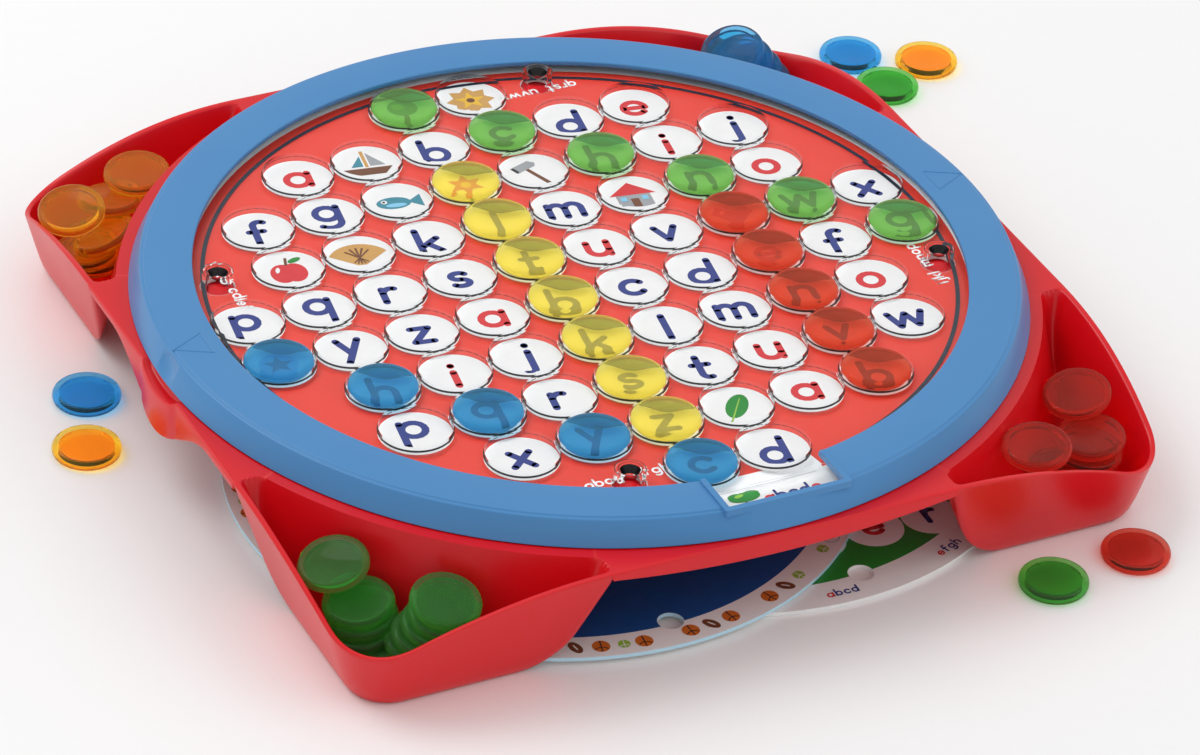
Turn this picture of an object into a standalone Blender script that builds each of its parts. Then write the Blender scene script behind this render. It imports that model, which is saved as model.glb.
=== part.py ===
"""Word board game: a square tray with four token pockets and a turning letter disc.

The tray stands on its four corner pockets. A printed card disc and a clear plate with
68 wells turn together on the round deck of the tray, under a lift-off ring that has a
window over the rim of the card. Lens-shaped tokens lie in wells, in the pockets and on
the table, and two spare card discs lie under the tray.

Metres, +Z up. The origin is the centre of the tray on the table top, and the window of
the ring is on the -Y side.
"""
import math

import bmesh
import bpy
from mathutils import Matrix, Vector

OBJECT_NAME = "word_board_game"

# Fits
SEAT_GAP = 0.0003            # between two pieces that lie on each other
RUNNING_GAP = 0.0010         # between a turning piece and what guides it
OVERRUN = 0.004              # how far a cutter passes the face it cuts
MERGE_DISTANCE = 0.00005     # under which points of a turned shape are one

# Tokens
TOKEN_RADIUS = 0.0102
TOKEN_THICKNESS = 0.0036
TOKEN_FACE_SHARE = 0.86      # flat face against the full radius
TOKEN_SEGMENTS = 12

# Letter grid
PITCH = 0.0225               # from well to well
WELL_CLEARANCE = 0.0005      # round a token in its well
GRID_COLUMNS = 10
WELL_SPANS = ((4, 5), (2, 7), (1, 8), (1, 8), (0, 9), (0, 9), (1, 8), (1, 8), (2, 7), (4, 5))
WELL_SEGMENTS = 12
WELL_RADIUS = TOKEN_RADIUS + WELL_CLEARANCE

# Clear plate
WELL_MARGIN = 0.0008         # from the outermost well to the part of the plate that shows
PLATE_RIM_WIDTH = 0.0042     # of the edge that the ring holds down
PLATE_THICKNESS = 0.0027
COLLAR_RADIUS = 0.0046
COLLAR_WALL = 0.0014
COLLAR_HEIGHT = 0.0027
COLLAR_SITE_SHARES = (-1.5, -4.5)    # in pitches, repeated every quarter turn
COLLAR_NAMES = ("front", "right", "back", "left")
PLATE_FACE_RADIUS = PITCH * math.hypot(GRID_COLUMNS / 2 - 1 / 2, 1 / 2) + WELL_RADIUS + WELL_MARGIN
PLATE_RADIUS = PLATE_FACE_RADIUS + PLATE_RIM_WIDTH

# Ring
RING_CLEARANCE = 0.0031      # round the outermost wells, so that their tokens and the collars pass
RING_FACE_WIDTH = 0.0127
RING_DRAFT = 0.0034          # how far its foot stands out beyond its top
RING_RISE = 0.0018           # top of the ring above the clear plate
RING_WALL = 0.0015
RING_EDGE = 0.0006
RING_SEGMENTS = 64
WINDOW_CENTRE = 0.0018
WINDOW_WIDTH = 0.0360
WINDOW_MARGIN = 0.0016       # from the window to the outer edge of the top of the ring
WINDOW_FRAME = 0.0018
WINDOW_FRAME_RISE = 0.0006
NOTCH_RADIUS = 0.0135        # finger notch in the skirt of the ring
NOTCH_OFFSET = 0.0100        # of its centre beyond the foot of the ring
RING_BORE_RADIUS = PLATE_FACE_RADIUS + RING_CLEARANCE
RING_TOP_RADIUS = RING_BORE_RADIUS + RING_FACE_WIDTH
RING_FOOT_RADIUS = RING_TOP_RADIUS + RING_DRAFT

# Card discs
CARD_SETBACK = 0.0032        # of the card's edge from the outer edge of the top of the ring
CARD_THICKNESS = 0.0012
CARD_HOLE_CLEARANCE = 0.0005
CARD_SEGMENTS = 56
HOLE_SEGMENTS = 12
CARD_RADIUS = RING_TOP_RADIUS - CARD_SETBACK
CARD_HOLE_RADIUS = COLLAR_RADIUS + CARD_HOLE_CLEARANCE
SPARE_SHARE = 0.738          # a spare disc against the disc in the tray
SPARE_RADIUS = CARD_RADIUS * SPARE_SHARE
SPARE_HOLE_SHARE = 0.884     # distance of its holes from its centre, against its radius

# Tray
DECK_HEIGHT = 0.0363         # top of the round deck above the table
DECK_RISE = 0.0018           # of the deck above the flat rim
SIDE_MARGIN = 0.0011         # from the foot of the ring to the middle of a side
TRAY_CORNER_RADIUS = 0.0220
TRAY_WALL = 0.0020
LIP_HEIGHT = 0.0016          # of the round lip that centres the card, above the deck
LIP_WIDTH = 0.0010
LIP_DRAFT = 0.0003
RIM_HEIGHT = DECK_HEIGHT - DECK_RISE
TRAY_HALF = RING_FOOT_RADIUS + SIDE_MARGIN
CORNER_DIP_SHARE = 0.437     # how far the rim dips at a corner, against its height
DIP_START_SHARE = 1.393      # |x| + |y| where the dip begins, against half a side
DIP_POWER_SHARE = 2.2
SKIRT_DEPTH_SHARE = 0.197    # of the edge wall in the middle of a side, against its height
SKIRT_END_SHARE = 0.075      # of the edge wall beside a pocket
SKIRT_BELLY_SHARE = 0.397    # half the length of the deeper middle, against half a side
CORNER_DIP = RIM_HEIGHT * CORNER_DIP_SHARE

# Pockets
RIM_LEDGE = 0.0036           # from the foot of the ring to a pocket
POCKET_END_SHARE = 0.4045    # from the middle of a side to the end of a pocket
INNER_RISE_SHARE = 4.1       # rise over run of the walls
OUTER_RISE_SHARE = 3.65
END_RISE_SHARE = 2.6
POCKET_FILLET = 0.0070       # height over which two faces blend
POCKET_INNER_RADIUS = RING_FOOT_RADIUS + RIM_LEDGE
POCKET_END = TRAY_HALF * POCKET_END_SHARE
WALL_SAMPLE_SHARE = 0.85     # of the way from the edge of a pocket down to its floor
FLOOR_SAMPLE_SHARE = 0.43    # of the floor, to each side of its middle
VALLEY_SAMPLE_SHARE = 0.05   # of the pocket, to each side of where two walls meet

# Finger scoops in the two side edges
SCOOP_HALF_WIDTH = 0.0160
SCOOP_DEPTH_SHARE = 0.362    # against the height of the rim
SCOOP_LUG_SHARE = 0.247
SCOOP_FLARE = 0.0035
SCOOP_INSET = 0.0025         # how far in from the foot of the ring a scoop begins
SCOOP_INNER_RADIUS = RING_FOOT_RADIUS - SCOOP_INSET
SCOOP_DEPTH = RIM_HEIGHT * SCOOP_DEPTH_SHARE
SCOOP_LUG = RIM_HEIGHT * SCOOP_LUG_SHARE

# Where the sections of the tray stand, in eighths of a turn, and across a side
OCTANT_SHARES = (0, 0.17, 0.34, 0.482, 0.494, 0.54, 0.6, 0.68, 0.78, 0.89)
SCOOP_SHARES = (0.05, 0.10, 0.137)
SIDE_SAMPLE_SHARES = (0, 0.25, 0.45, 0.62, 0.78, 0.9, 1)
SIDE_UNDER_SHARES = (0, 0.35, 0.62, 0.85)

# Spare discs under the tray, one on the other: which way they lie from the middle in
# degrees, how far clear of the tray's feet, and how far they are turned
SPARE_DISCS = (
    ("spare_disc_green", "card_green", -54.7, 0.0042, 23.2),
    ("spare_disc_blue", "card_blue", -127.3, 0.0011, 19.1),
)

BOARD_TOKENS = {
    "green": ((4, 0), (5, 1), (6, 2), (7, 3), (8, 4), (9, 5)),
    "yellow": ((4, 2), (4, 3), (4, 4), (4, 5), (4, 6), (4, 7), (4, 8)),
    "red": ((7, 4), (7, 5), (7, 6), (7, 7), (7, 8)),
    "blue": ((0, 5), (1, 6), (2, 7), (3, 8), (4, 9)),
}

# Tokens on the table, by their distance beyond the tray's sides: left, front or back right
LEFT_TOKENS = (("blue_left", "blue", 0.0038, 0.0455), ("yellow_left", "yellow", 0.0139, 0.0202))
FRONT_TOKENS = (("green_front", "green", 0.0820, 0.0102), ("red_front", "red", 0.1110, 0.0068))
BACK_TOKENS = (("blue_back", "blue", 0.0305, 0.0010), ("green_back", "green", 0.0325, -0.0205),
               ("yellow_back", "yellow", 0.0520, -0.0110))

# Tokens in the pockets, from the lowest up: places along the pocket, outwards and up, and
# the lean along it and outwards, all in token radii. The heap's tokens are one body.
POCKETS = {
    "yellow": (-1, 1),
    "green": (-1, -1),
    "red": (1, -1),
    "blue": (1, 1),
}
POCKET_SETBACK = 0.0193      # of a pocket's middle from its inner edge
POCKET_CENTRE = POCKET_INNER_RADIUS + POCKET_SETBACK
HEAP_SHARES = {
    "yellow": ((0, 0, 0.25, 0, 0), (0.2, 0.05, 0.60, 0.1, 0.1)),
    "green": ((0, 0, 0.25, 0, 0), (-0.49, -0.2, 0.58, -0.2, 0.1), (0.78, -0.2, 0.92, 0.2, 0.1),
              (0.96, -0.25, 1.23, 0.2, 0.1), (1.18, -0.38, 1.54, 0.2, 0.1),
              (-0.88, -0.29, 0.88, -0.1, 0.15), (1.32, -0.49, 1.86, 0.2, 0.12),
              (-0.98, -0.39, 1.23, -0.05, 0.15)),
    "red": ((0, 0, 0.25, 0, 0), (0.29, -0.2, 0.62, 0.2, 0.1), (-0.88, -0.39, 1.07, -0.1, 0.1),
            (0.2, 0.05, 1.37, 0, 0.05)),
    "blue": ((0, 0, 0.25, 0, 0), (-0.59, -0.2, 0.55, -0.1, 0), (-0.78, 0.1, 1.04, 0.1, -0.3),
             (-0.59, 0.25, 1.45, 0.1, -0.45)),
}
POCKET_TOKEN_SHARES = {
    "yellow": ((0.29, -0.49, 1.30, 0.1, 0.45), (-0.78, -0.25, 1.85, -0.1, 0.1),
               (1.08, 0.2, 2.46, 0.25, 0), (-1.67, -0.72, 2.39, 0.1, 0)),
    "green": ((-1.08, -0.39, 1.62, -0.05, 0.15), (1.37, -0.49, 2.28, 0.2, 0.15),
              (-1.96, -0.74, 2.43, -0.1, 0.25)),
    "red": ((0.2, 0.1, 1.88, -0.1, -0.05), (1.37, -0.69, 2.43, -0.2, -0.1),
            (-2.16, -0.93, 2.79, -0.1, 0)),
    "blue": ((-0.29, 0.2, 1.83, 0.1, -0.45), (0, 0.1, 2.19, 0.1, -0.45), (0.29, 0, 2.55, 0.1, -0.45)),
}

COLOURS = {
    "tray_red": ((0.77, 0.006, 0.013), 0.32),
    "ring_blue": ((0.068, 0.254, 0.546), 0.42),
    "clear": ((0.86, 0.90, 0.92), 0.06),
    "card_red": ((0.80, 0.013, 0.014), 0.55),
    "card_blue": ((0.0, 0.090, 0.319), 0.5),
    "card_green": ((0.012, 0.287, 0.031), 0.5),
    "blue": ((0.010, 0.220, 0.600), 0.08),
    "green": ((0.030, 0.350, 0.040), 0.08),
    "yellow": ((0.900, 0.560, 0.010), 0.08),
    "red": ((0.680, 0.020, 0.010), 0.08),
}

# Heights that follow from the sizes above
CARD_BOTTOM = DECK_HEIGHT + SEAT_GAP
CARD_TOP = CARD_BOTTOM + CARD_THICKNESS
PLATE_BOTTOM = CARD_TOP + SEAT_GAP
PLATE_TOP = PLATE_BOTTOM + PLATE_THICKNESS
RING_TOP = PLATE_TOP + RING_RISE
RING_BOTTOM = RIM_HEIGHT + SEAT_GAP
RING_UNDERSIDE = PLATE_TOP + SEAT_GAP
COLLAR_SITE_RADIUS = PITCH * math.hypot(*COLLAR_SITE_SHARES)
SPARE_HEIGHTS = (0, CARD_THICKNESS + SEAT_GAP)
FOOT_RADIUS = POCKET_INNER_RADIUS - TRAY_WALL + RIM_HEIGHT / INNER_RISE_SHARE


def clear_scene():
    """Remove every object of the open scene."""
    for obj in list(bpy.data.objects):
        bpy.data.objects.remove(obj, do_unlink=True)


def make_collection(name):
    """Return a new collection linked to the scene."""
    collection = bpy.data.collections.new(name)
    bpy.context.scene.collection.children.link(collection)
    return collection


def material(name):
    """Return the Principled material of one of the colours."""
    found = bpy.data.materials.get(name)
    if found:
        return found
    colour, roughness = COLOURS[name]
    made = bpy.data.materials.new(name)
    made.use_nodes = True
    shader = made.node_tree.nodes["Principled BSDF"]
    shader.inputs["Base Color"].default_value = (*colour, 1.0)
    shader.inputs["Roughness"].default_value = roughness
    shader.inputs["Metallic"].default_value = 0.0
    made.diffuse_color = (*colour, 1.0)
    return made


def add_object(name, mesh, colour, collection):
    """Link a mesh as one named piece with its material."""
    obj = bpy.data.objects.new(name, mesh)
    collection.objects.link(obj)
    if colour:
        mesh.materials.clear()
        mesh.materials.append(material(colour))
    return obj


def mesh_from(bm, name):
    """Turn a bmesh into a mesh with its faces pointing out, smooth where it is round."""
    bmesh.ops.recalc_face_normals(bm, faces=bm.faces)
    mesh = bpy.data.meshes.new(name)
    bm.to_mesh(mesh)
    bm.free()
    mesh.shade_smooth()
    mesh.set_sharp_from_angle(angle=math.radians(35.0))
    return mesh


def profile_mesh(name, profile, is_closed=False):
    """Return a (radius, height) outline at +X as edges that run down its outer side."""
    points = [(radius, 0, height) for radius, height in profile]
    edges = list(zip(range(len(points)), range(1, len(points))))
    if is_closed:
        edges.append((len(points) - 1, 0))
    mesh = bpy.data.meshes.new(name)
    mesh.from_pydata(points, edges, [])
    return mesh


def turn_round(obj, segments):
    """Turn an object's profile about its own Z axis."""
    screw = obj.modifiers.new("turned", "SCREW")
    screw.axis = "Z"
    screw.angle = 2 * math.pi
    screw.steps = segments
    screw.render_steps = segments
    screw.use_merge_vertices = True
    screw.merge_threshold = MERGE_DISTANCE
    screw.use_smooth_shade = True
    return screw


def cylinder_mesh(name, radius, low, high, segments, places=((0, 0),)):
    """Return upright cylinders from low to high at places in plan."""
    bm = bmesh.new()
    for x, y in places:
        bmesh.ops.create_cone(bm, cap_ends=True, segments=segments, radius1=radius, radius2=radius,
                              depth=high - low, matrix=Matrix.Translation((x, y, (high + low) / 2)))
    return mesh_from(bm, name)


def cylinder_cutter(name, radius, low, high, segments, places, cutters):
    """Return hidden upright cylinders as one cutter."""
    return hidden(add_object(name, cylinder_mesh(name, radius, low, high, segments, places), None, cutters))


def hidden(obj):
    """Mark an object as a cutter."""
    obj.hide_render = True
    obj.display_type = "WIRE"
    return obj


def boolean(target, cutter, operation="DIFFERENCE"):
    """Add an exact Boolean modifier."""
    modifier = target.modifiers.new(cutter.name, "BOOLEAN")
    modifier.operation = operation
    modifier.solver = "EXACT"
    modifier.object = cutter
    return modifier


def quarter_turns(place):
    """Return a place in plan and its three quarter turns about the origin."""
    x, y = place
    return [(x, y), (-y, x), (-x, -y), (y, -x)]


def well_places():
    """Return the plan places of all wells, by column and row."""
    middle = (GRID_COLUMNS - 1) / 2
    return {(column, row): (PITCH * (column - middle), PITCH * (middle - row))
            for row, (first, last) in enumerate(WELL_SPANS)
            for column in range(first, last + 1)}


# The tray

def side_distance(x, y):
    """Return how far a point in plan lies inside the rounded square of the rim."""
    a = abs(x) - (TRAY_HALF - TRAY_CORNER_RADIUS)
    b = abs(y) - (TRAY_HALF - TRAY_CORNER_RADIUS)
    outside = math.hypot(max(a, 0), max(b, 0))
    return TRAY_CORNER_RADIUS - outside - min(max(a, b), 0)


def corner_dip(x, y):
    """Return how far the rim has dipped at a point in plan."""
    corner = 2 * (TRAY_HALF - TRAY_CORNER_RADIUS * (1 - math.sqrt(2) / 2))
    corner -= math.sqrt(2) * CORNER_DIP / OUTER_RISE_SHARE
    start = TRAY_HALF * DIP_START_SHARE
    share = (abs(x) + abs(y) - start) / (corner - start)
    return CORNER_DIP * min(max(share, 0), 1) ** DIP_POWER_SHARE


def blend_up(a, b):
    """Return the higher of two heights, with a fillet where they meet."""
    overlap = max(POCKET_FILLET - abs(a - b), 0)
    return max(a, b) + overlap * overlap / (4 * POCKET_FILLET)


def pocket_height(x, y, shell):
    """Return the height of the pocket surface, or of the shell that far outside it."""
    radius = math.hypot(x, y)
    inner = RIM_HEIGHT - (radius - POCKET_INNER_RADIUS + shell) * INNER_RISE_SHARE
    outer = RIM_HEIGHT - (side_distance(x, y) - TRAY_WALL + shell) * OUTER_RISE_SHARE
    end = RIM_HEIGHT - (min(abs(x), abs(y)) - POCKET_END + shell) * END_RISE_SHARE
    floor = TRAY_WALL - shell
    return blend_up(blend_up(floor, end), blend_up(inner, outer))


def ray_radius(angle, low, high, is_before):
    """Return the radius on a ray in plan up to which a test holds, by halving."""
    for _ in range(40):
        middle = (low + high) / 2
        if is_before(middle * math.cos(angle), middle * math.sin(angle)):
            low = middle
        else:
            high = middle
    return low


def edge_radius(angle, inset):
    """Return the radius at which a ray in plan meets the wall edge, this far inside it."""
    return ray_radius(angle, TRAY_HALF - TRAY_CORNER_RADIUS, 2 * TRAY_HALF,
                      lambda x, y: side_distance(x, y) - inset > corner_dip(x, y) / OUTER_RISE_SHARE)


def pocket_radii(angle, start, end, shell):
    """Return the radii of the samples across a pocket, closer together where its faces meet."""
    floor = TRAY_WALL - shell
    inner_foot = start + (RIM_HEIGHT - floor) / INNER_RISE_SHARE
    outer_inset = TRAY_WALL - shell + (RIM_HEIGHT - floor) / OUTER_RISE_SHARE
    outer_foot = ray_radius(angle, start, end, lambda x, y: side_distance(x, y) > outer_inset)
    if outer_foot < inner_foot:
        inner_foot = outer_foot = ray_radius(
            angle, start, end,
            lambda x, y: (math.hypot(x, y) - start) * INNER_RISE_SHARE
            < (side_distance(x, y) - TRAY_WALL + shell) * OUTER_RISE_SHARE)
    middle = (inner_foot + outer_foot) / 2
    half = max((outer_foot - inner_foot) * FLOOR_SAMPLE_SHARE, (end - start) * VALLEY_SAMPLE_SHARE)
    near_inner = start + (middle - half - start) * WALL_SAMPLE_SHARE
    near_outer = end + (middle + half - end) * WALL_SAMPLE_SHARE
    return (start, near_inner, middle - half, middle, middle + half, near_outer, end)


def scoop_share(x, y):
    """Return 1 in the middle of a finger scoop and 0 beside it."""
    across = min(abs(y) / SCOOP_HALF_WIDTH, 1)
    return math.sqrt(1 - across * across) if abs(x) > abs(y) else 0


def skirt_depth(x, y):
    """Return the depth of the edge wall along a side."""
    along = min(abs(x), abs(y))
    if along >= POCKET_END:
        return 0
    belly = max(1 - (along / TRAY_HALF / SKIRT_BELLY_SHARE) ** 2, 0)
    return RIM_HEIGHT * (SKIRT_END_SHARE + (SKIRT_DEPTH_SHARE - SKIRT_END_SHARE) * belly)


def side_section(angle, outer, inner, scoop, rim_edge):
    """Return the outline of the rim and the edge wall along a side, from its top to below."""
    flare = SCOOP_FLARE * scoop
    depth = skirt_depth(outer * math.cos(angle), outer * math.sin(angle)) + SCOOP_LUG * scoop
    start = SCOOP_INNER_RADIUS
    points = [(start + (inner - start) * share, RIM_HEIGHT - SCOOP_DEPTH * scoop * share ** 2)
              for share in SIDE_SAMPLE_SHARES]
    low = rim_edge - depth
    wall_inside = outer + flare - TRAY_WALL
    points += [(outer + flare, rim_edge), (outer + flare, low), (wall_inside, low)]
    reach = wall_inside - start - SEAT_GAP
    points += [(start + reach * share, RIM_HEIGHT - TRAY_WALL - SCOOP_DEPTH * scoop * share ** 2)
               for share in reversed(SIDE_UNDER_SHARES)]
    return points


def pocket_section(angle, outer, inner, rim_edge):
    """Return the outline of a pocket and its shell at one angle, from its top to below."""
    c, s = math.cos(angle), math.sin(angle)
    tops = pocket_radii(angle, POCKET_INNER_RADIUS, inner, 0)
    points = [(r, min(pocket_height(r * c, r * s, 0), RIM_HEIGHT)) for r in tops[:-1]]
    points += [(inner, rim_edge), (outer, rim_edge)]
    under = RIM_HEIGHT - TRAY_WALL
    bottoms = pocket_radii(angle, POCKET_INNER_RADIUS - TRAY_WALL, outer, TRAY_WALL)
    points += [(r, min(pocket_height(r * c, r * s, TRAY_WALL), under)) for r in reversed(bottoms[:-1])]
    return points


def tray_section(angle):
    """Return the closed outline of the tray wall at one angle, from the deck edge round to it."""
    lip_inner = CARD_RADIUS + RUNNING_GAP
    lip_outer = lip_inner + LIP_WIDTH
    deck_edge = lip_inner - LIP_DRAFT
    lip_top = DECK_HEIGHT + LIP_HEIGHT
    foot = lip_outer + LIP_DRAFT
    outer = edge_radius(angle, 0)
    inner = edge_radius(angle, TRAY_WALL)
    x, y = outer * math.cos(angle), outer * math.sin(angle)
    points = [(deck_edge, DECK_HEIGHT), (lip_inner, lip_top), (lip_outer, lip_top), (foot, RIM_HEIGHT)]
    if min(abs(x), abs(y)) > POCKET_END:
        points += pocket_section(angle, outer, inner, RIM_HEIGHT - corner_dip(x, y))
    else:
        scoop = scoop_share(x, y)
        points += side_section(angle, outer, inner, scoop, RIM_HEIGHT - SCOOP_DEPTH * scoop)
    points.append((foot - TRAY_WALL, RIM_HEIGHT - TRAY_WALL))
    points.append((deck_edge - TRAY_WALL, DECK_HEIGHT - TRAY_WALL))
    return points


def tray_angles():
    """Return the angles of the sections, closer together at pockets and scoops."""
    found = set()
    eighth = math.pi / 4
    for octant in range(8):
        mirrored = octant % 2
        base = (octant + mirrored) * eighth
        sign = -1 if mirrored else 1
        shares = OCTANT_SHARES + ((SCOOP_SHARES) if octant in (0, 3, 4, 7) else ())
        found.update(round((base + sign * eighth * share) % (2 * math.pi), 9) for share in shares)
        found.add(round((octant + (1 - mirrored)) * eighth % (2 * math.pi), 9))
    return sorted(found)


def make_tray(collection):
    """Build the tray as a loft of its wall sections round the deck."""
    bm = bmesh.new()
    columns = []
    for angle in tray_angles():
        c, s = math.cos(angle), math.sin(angle)
        columns.append([bm.verts.new((r * c, r * s, z)) for r, z in tray_section(angle)])
    count = len(columns[0])
    for left, right in zip(columns, columns[1:] + columns[:1]):
        for k in range(count - 1):
            bm.faces.new((left[k], left[k + 1], right[k + 1], right[k]))
    bm.faces.new([column[0] for column in columns])
    bm.faces.new([column[-1] for column in reversed(columns)])
    return add_object("tray", mesh_from(bm, "tray"), "tray_red", collection)


# The turning disc

def make_card(name, radius, hole_reach, place, low, turn, colour, collection, cutters):
    """Place one card disc with its four holes, their centres at hole_reach from its own."""
    size = radius / CARD_RADIUS
    spread = hole_reach / math.hypot(*COLLAR_SITE_SHARES)
    card = add_object(name, cylinder_mesh(name, radius, 0, CARD_THICKNESS, CARD_SEGMENTS), colour, collection)
    sites = [(x * spread, y * spread) for x, y in quarter_turns(COLLAR_SITE_SHARES)]
    holes = cylinder_cutter(name + "_holes", CARD_HOLE_RADIUS * size, -OVERRUN, OVERRUN, HOLE_SEGMENTS, sites,
                            cutters)
    boolean(card, holes)
    for obj in (card, holes):
        obj.location = (*place, low)
        obj.rotation_euler = (0, 0, turn)
    return card


def make_spare_discs(collection, cutters):
    """Lay the spare discs on the table between the feet of the tray."""
    for (name, colour, heading, clearance, turn), low in zip(SPARE_DISCS, SPARE_HEIGHTS):
        reach = FOOT_RADIUS - SPARE_RADIUS - clearance
        place = (reach * math.cos(math.radians(heading)), reach * math.sin(math.radians(heading)))
        make_card(name, SPARE_RADIUS, SPARE_RADIUS * SPARE_HOLE_SHARE, place, low, math.radians(turn), colour,
                  collection, cutters)


def make_plate(collection, cutters):
    """Build the clear plate with its wells, and the four hollow collars that stand in its holes."""
    plate = add_object("clear_plate", cylinder_mesh("clear_plate", PLATE_RADIUS, PLATE_BOTTOM, PLATE_TOP,
                                                    CARD_SEGMENTS), "clear", collection)
    boolean(plate, cylinder_cutter("wells", WELL_RADIUS, PLATE_TOP - OVERRUN, PLATE_TOP + OVERRUN,
                                   WELL_SEGMENTS, well_places().values(), cutters))
    sites = [(x * PITCH, y * PITCH) for x, y in quarter_turns(COLLAR_SITE_SHARES)]
    boolean(plate, cylinder_cutter("collar_holes", COLLAR_RADIUS + SEAT_GAP, PLATE_BOTTOM - OVERRUN,
                                   PLATE_TOP + OVERRUN, HOLE_SEGMENTS, sites, cutters))
    low, high = DECK_HEIGHT + SEAT_GAP, PLATE_TOP + COLLAR_HEIGHT
    bore = COLLAR_RADIUS - COLLAR_WALL
    profile = ((bore, low), (bore, high), (COLLAR_RADIUS, high), (COLLAR_RADIUS, low))
    for name, (x, y) in zip(COLLAR_NAMES, sites):
        tube = profile_mesh("collar_" + name, profile, is_closed=True)
        collar = add_object("collar_" + name, tube, "clear", collection)
        collar.location = (x, y, 0)
        turn_round(collar, HOLE_SEGMENTS)
    return plate


# The ring

def ring_slope():
    """Return how far the outer side of the ring runs out for each metre down."""
    return (RING_FOOT_RADIUS - RING_TOP_RADIUS) / (RING_TOP - RING_BOTTOM)


def ring_profile():
    """Return the outline of the ring's face from its bore, clockwise seen with +R to the right."""
    slope = ring_slope()
    return ((RING_BORE_RADIUS, RING_UNDERSIDE), (RING_BORE_RADIUS, RING_TOP - RING_EDGE),
            (RING_BORE_RADIUS + RING_EDGE, RING_TOP), (RING_TOP_RADIUS - RING_EDGE, RING_TOP),
            (RING_TOP_RADIUS + slope * RING_EDGE, RING_TOP - RING_EDGE),
            (RING_TOP_RADIUS + slope * (RING_TOP - RING_UNDERSIDE), RING_UNDERSIDE))


def skirt_profile():
    """Return the outline of the ring's skirt, which runs on down from the face."""
    high = RING_UNDERSIDE - SEAT_GAP
    outer = RING_TOP_RADIUS + ring_slope() * (RING_TOP - high)
    return ((outer - RING_WALL, high), (outer, high), (RING_FOOT_RADIUS, RING_BOTTOM),
            (RING_FOOT_RADIUS - RING_WALL, RING_BOTTOM))


def box_between(name, low, high, group):
    """Return a box object between two corners."""
    bm = bmesh.new()
    size = Vector(high) - Vector(low)
    where = Matrix.Translation((Vector(low) + Vector(high)) / 2) @ Matrix.Diagonal((*size, 1))
    bmesh.ops.create_cube(bm, size=1, matrix=where)
    return hidden(add_object(name, mesh_from(bm, name), None, group))


def make_ring(collection, cutters):
    """Build the ring, face and skirt, with its framed window and its two finger notches."""
    ring = add_object("ring_frame", profile_mesh("ring_frame", ring_profile(), is_closed=True), "ring_blue",
                      collection)
    turn_round(ring, RING_SEGMENTS)
    skirt = add_object("ring_skirt", profile_mesh("ring_skirt", skirt_profile(), is_closed=True), "ring_blue",
                       collection)
    turn_round(skirt, RING_SEGMENTS)
    left = WINDOW_CENTRE - WINDOW_WIDTH / 2
    right = WINDOW_CENTRE + WINDOW_WIDTH / 2
    top = RING_TOP + WINDOW_FRAME_RISE
    window_outer = RING_TOP_RADIUS - WINDOW_MARGIN
    inner = -RING_BORE_RADIUS * math.cos(math.asin(right / RING_BORE_RADIUS))
    frame = box_between("window_frame", (left - WINDOW_FRAME, -window_outer - WINDOW_FRAME, RING_UNDERSIDE),
                        (right + WINDOW_FRAME, inner - RING_EDGE, top), cutters)
    hole = box_between("window_hole", (left, -window_outer, RING_UNDERSIDE - OVERRUN),
                       (right, inner + OVERRUN, top + OVERRUN), cutters)
    boolean(ring, frame, "UNION")
    boolean(ring, hole)
    for side, name in ((-1, "left"), (1, "right")):
        place = (side * (RING_FOOT_RADIUS + NOTCH_OFFSET), 0)
        notch = cylinder_cutter("notch_" + name, NOTCH_RADIUS, RING_BOTTOM - OVERRUN, RING_TOP - RING_EDGE,
                                2 * HOLE_SEGMENTS, (place,), cutters)
        boolean(ring, notch)
        boolean(skirt, notch)
    return ring


# Tokens

def token_mesh(name, colour):
    """Return the half section of a lens-shaped token that stands on z = 0."""
    face = TOKEN_RADIUS * TOKEN_FACE_SHARE
    profile = ((0, TOKEN_THICKNESS), (face, TOKEN_THICKNESS), (TOKEN_RADIUS, TOKEN_THICKNESS / 2),
               (face, 0), (0, 0))
    mesh = profile_mesh(name, profile)
    mesh.materials.append(material(colour))
    return mesh


def place_token(name, mesh, place, collection):
    """Add one token with the middle of its underside at a place."""
    token = bpy.data.objects.new(name, mesh)
    collection.objects.link(token)
    token.location = place
    turn_round(token, TOKEN_SEGMENTS)
    return token


def make_board_tokens(meshes, collection):
    """Lay the tokens that are in play into their wells."""
    places = well_places()
    for colour, sites in BOARD_TOKENS.items():
        for number, site in enumerate(sites, 1):
            place_token(f"token_{colour}_{number}", meshes[colour], (*places[site], CARD_TOP + SEAT_GAP),
                        collection)


def make_table_tokens(meshes, collection):
    """Lay the loose tokens on the table beside the tray."""
    for name, colour, beyond, y in LEFT_TOKENS:
        place_token("loose_" + name, meshes[colour], (-TRAY_HALF - beyond, y, 0), collection)
    for name, colour, x, beyond in FRONT_TOKENS:
        place_token("loose_" + name, meshes[colour], (x, -TRAY_HALF - beyond, 0), collection)
    for name, colour, beyond, back in BACK_TOKENS:
        place_token("loose_" + name, meshes[colour], (TRAY_HALF + beyond, TRAY_HALF + back, 0), collection)


def lean_token(token, colour, shares):
    """Place a token as its pocket shares say."""
    along, outwards, up, lean_along, lean_outwards = shares
    diagonal = Vector((*POCKETS[colour], 0)).normalized()
    across = Vector((-diagonal.y, diagonal.x, 0))
    middle = diagonal * (POCKET_CENTRE + outwards * TOKEN_RADIUS) + across * along * TOKEN_RADIUS
    middle.z = TRAY_WALL + up * TOKEN_RADIUS
    normal = across * lean_along + diagonal * lean_outwards + Vector((0, 0, 1))
    turn = Vector((0, 0, 1)).rotation_difference(normal)
    token.rotation_mode = "QUATERNION"
    token.rotation_quaternion = turn
    token.location = middle - turn @ Vector((0, 0, TOKEN_THICKNESS / 2))


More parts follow.
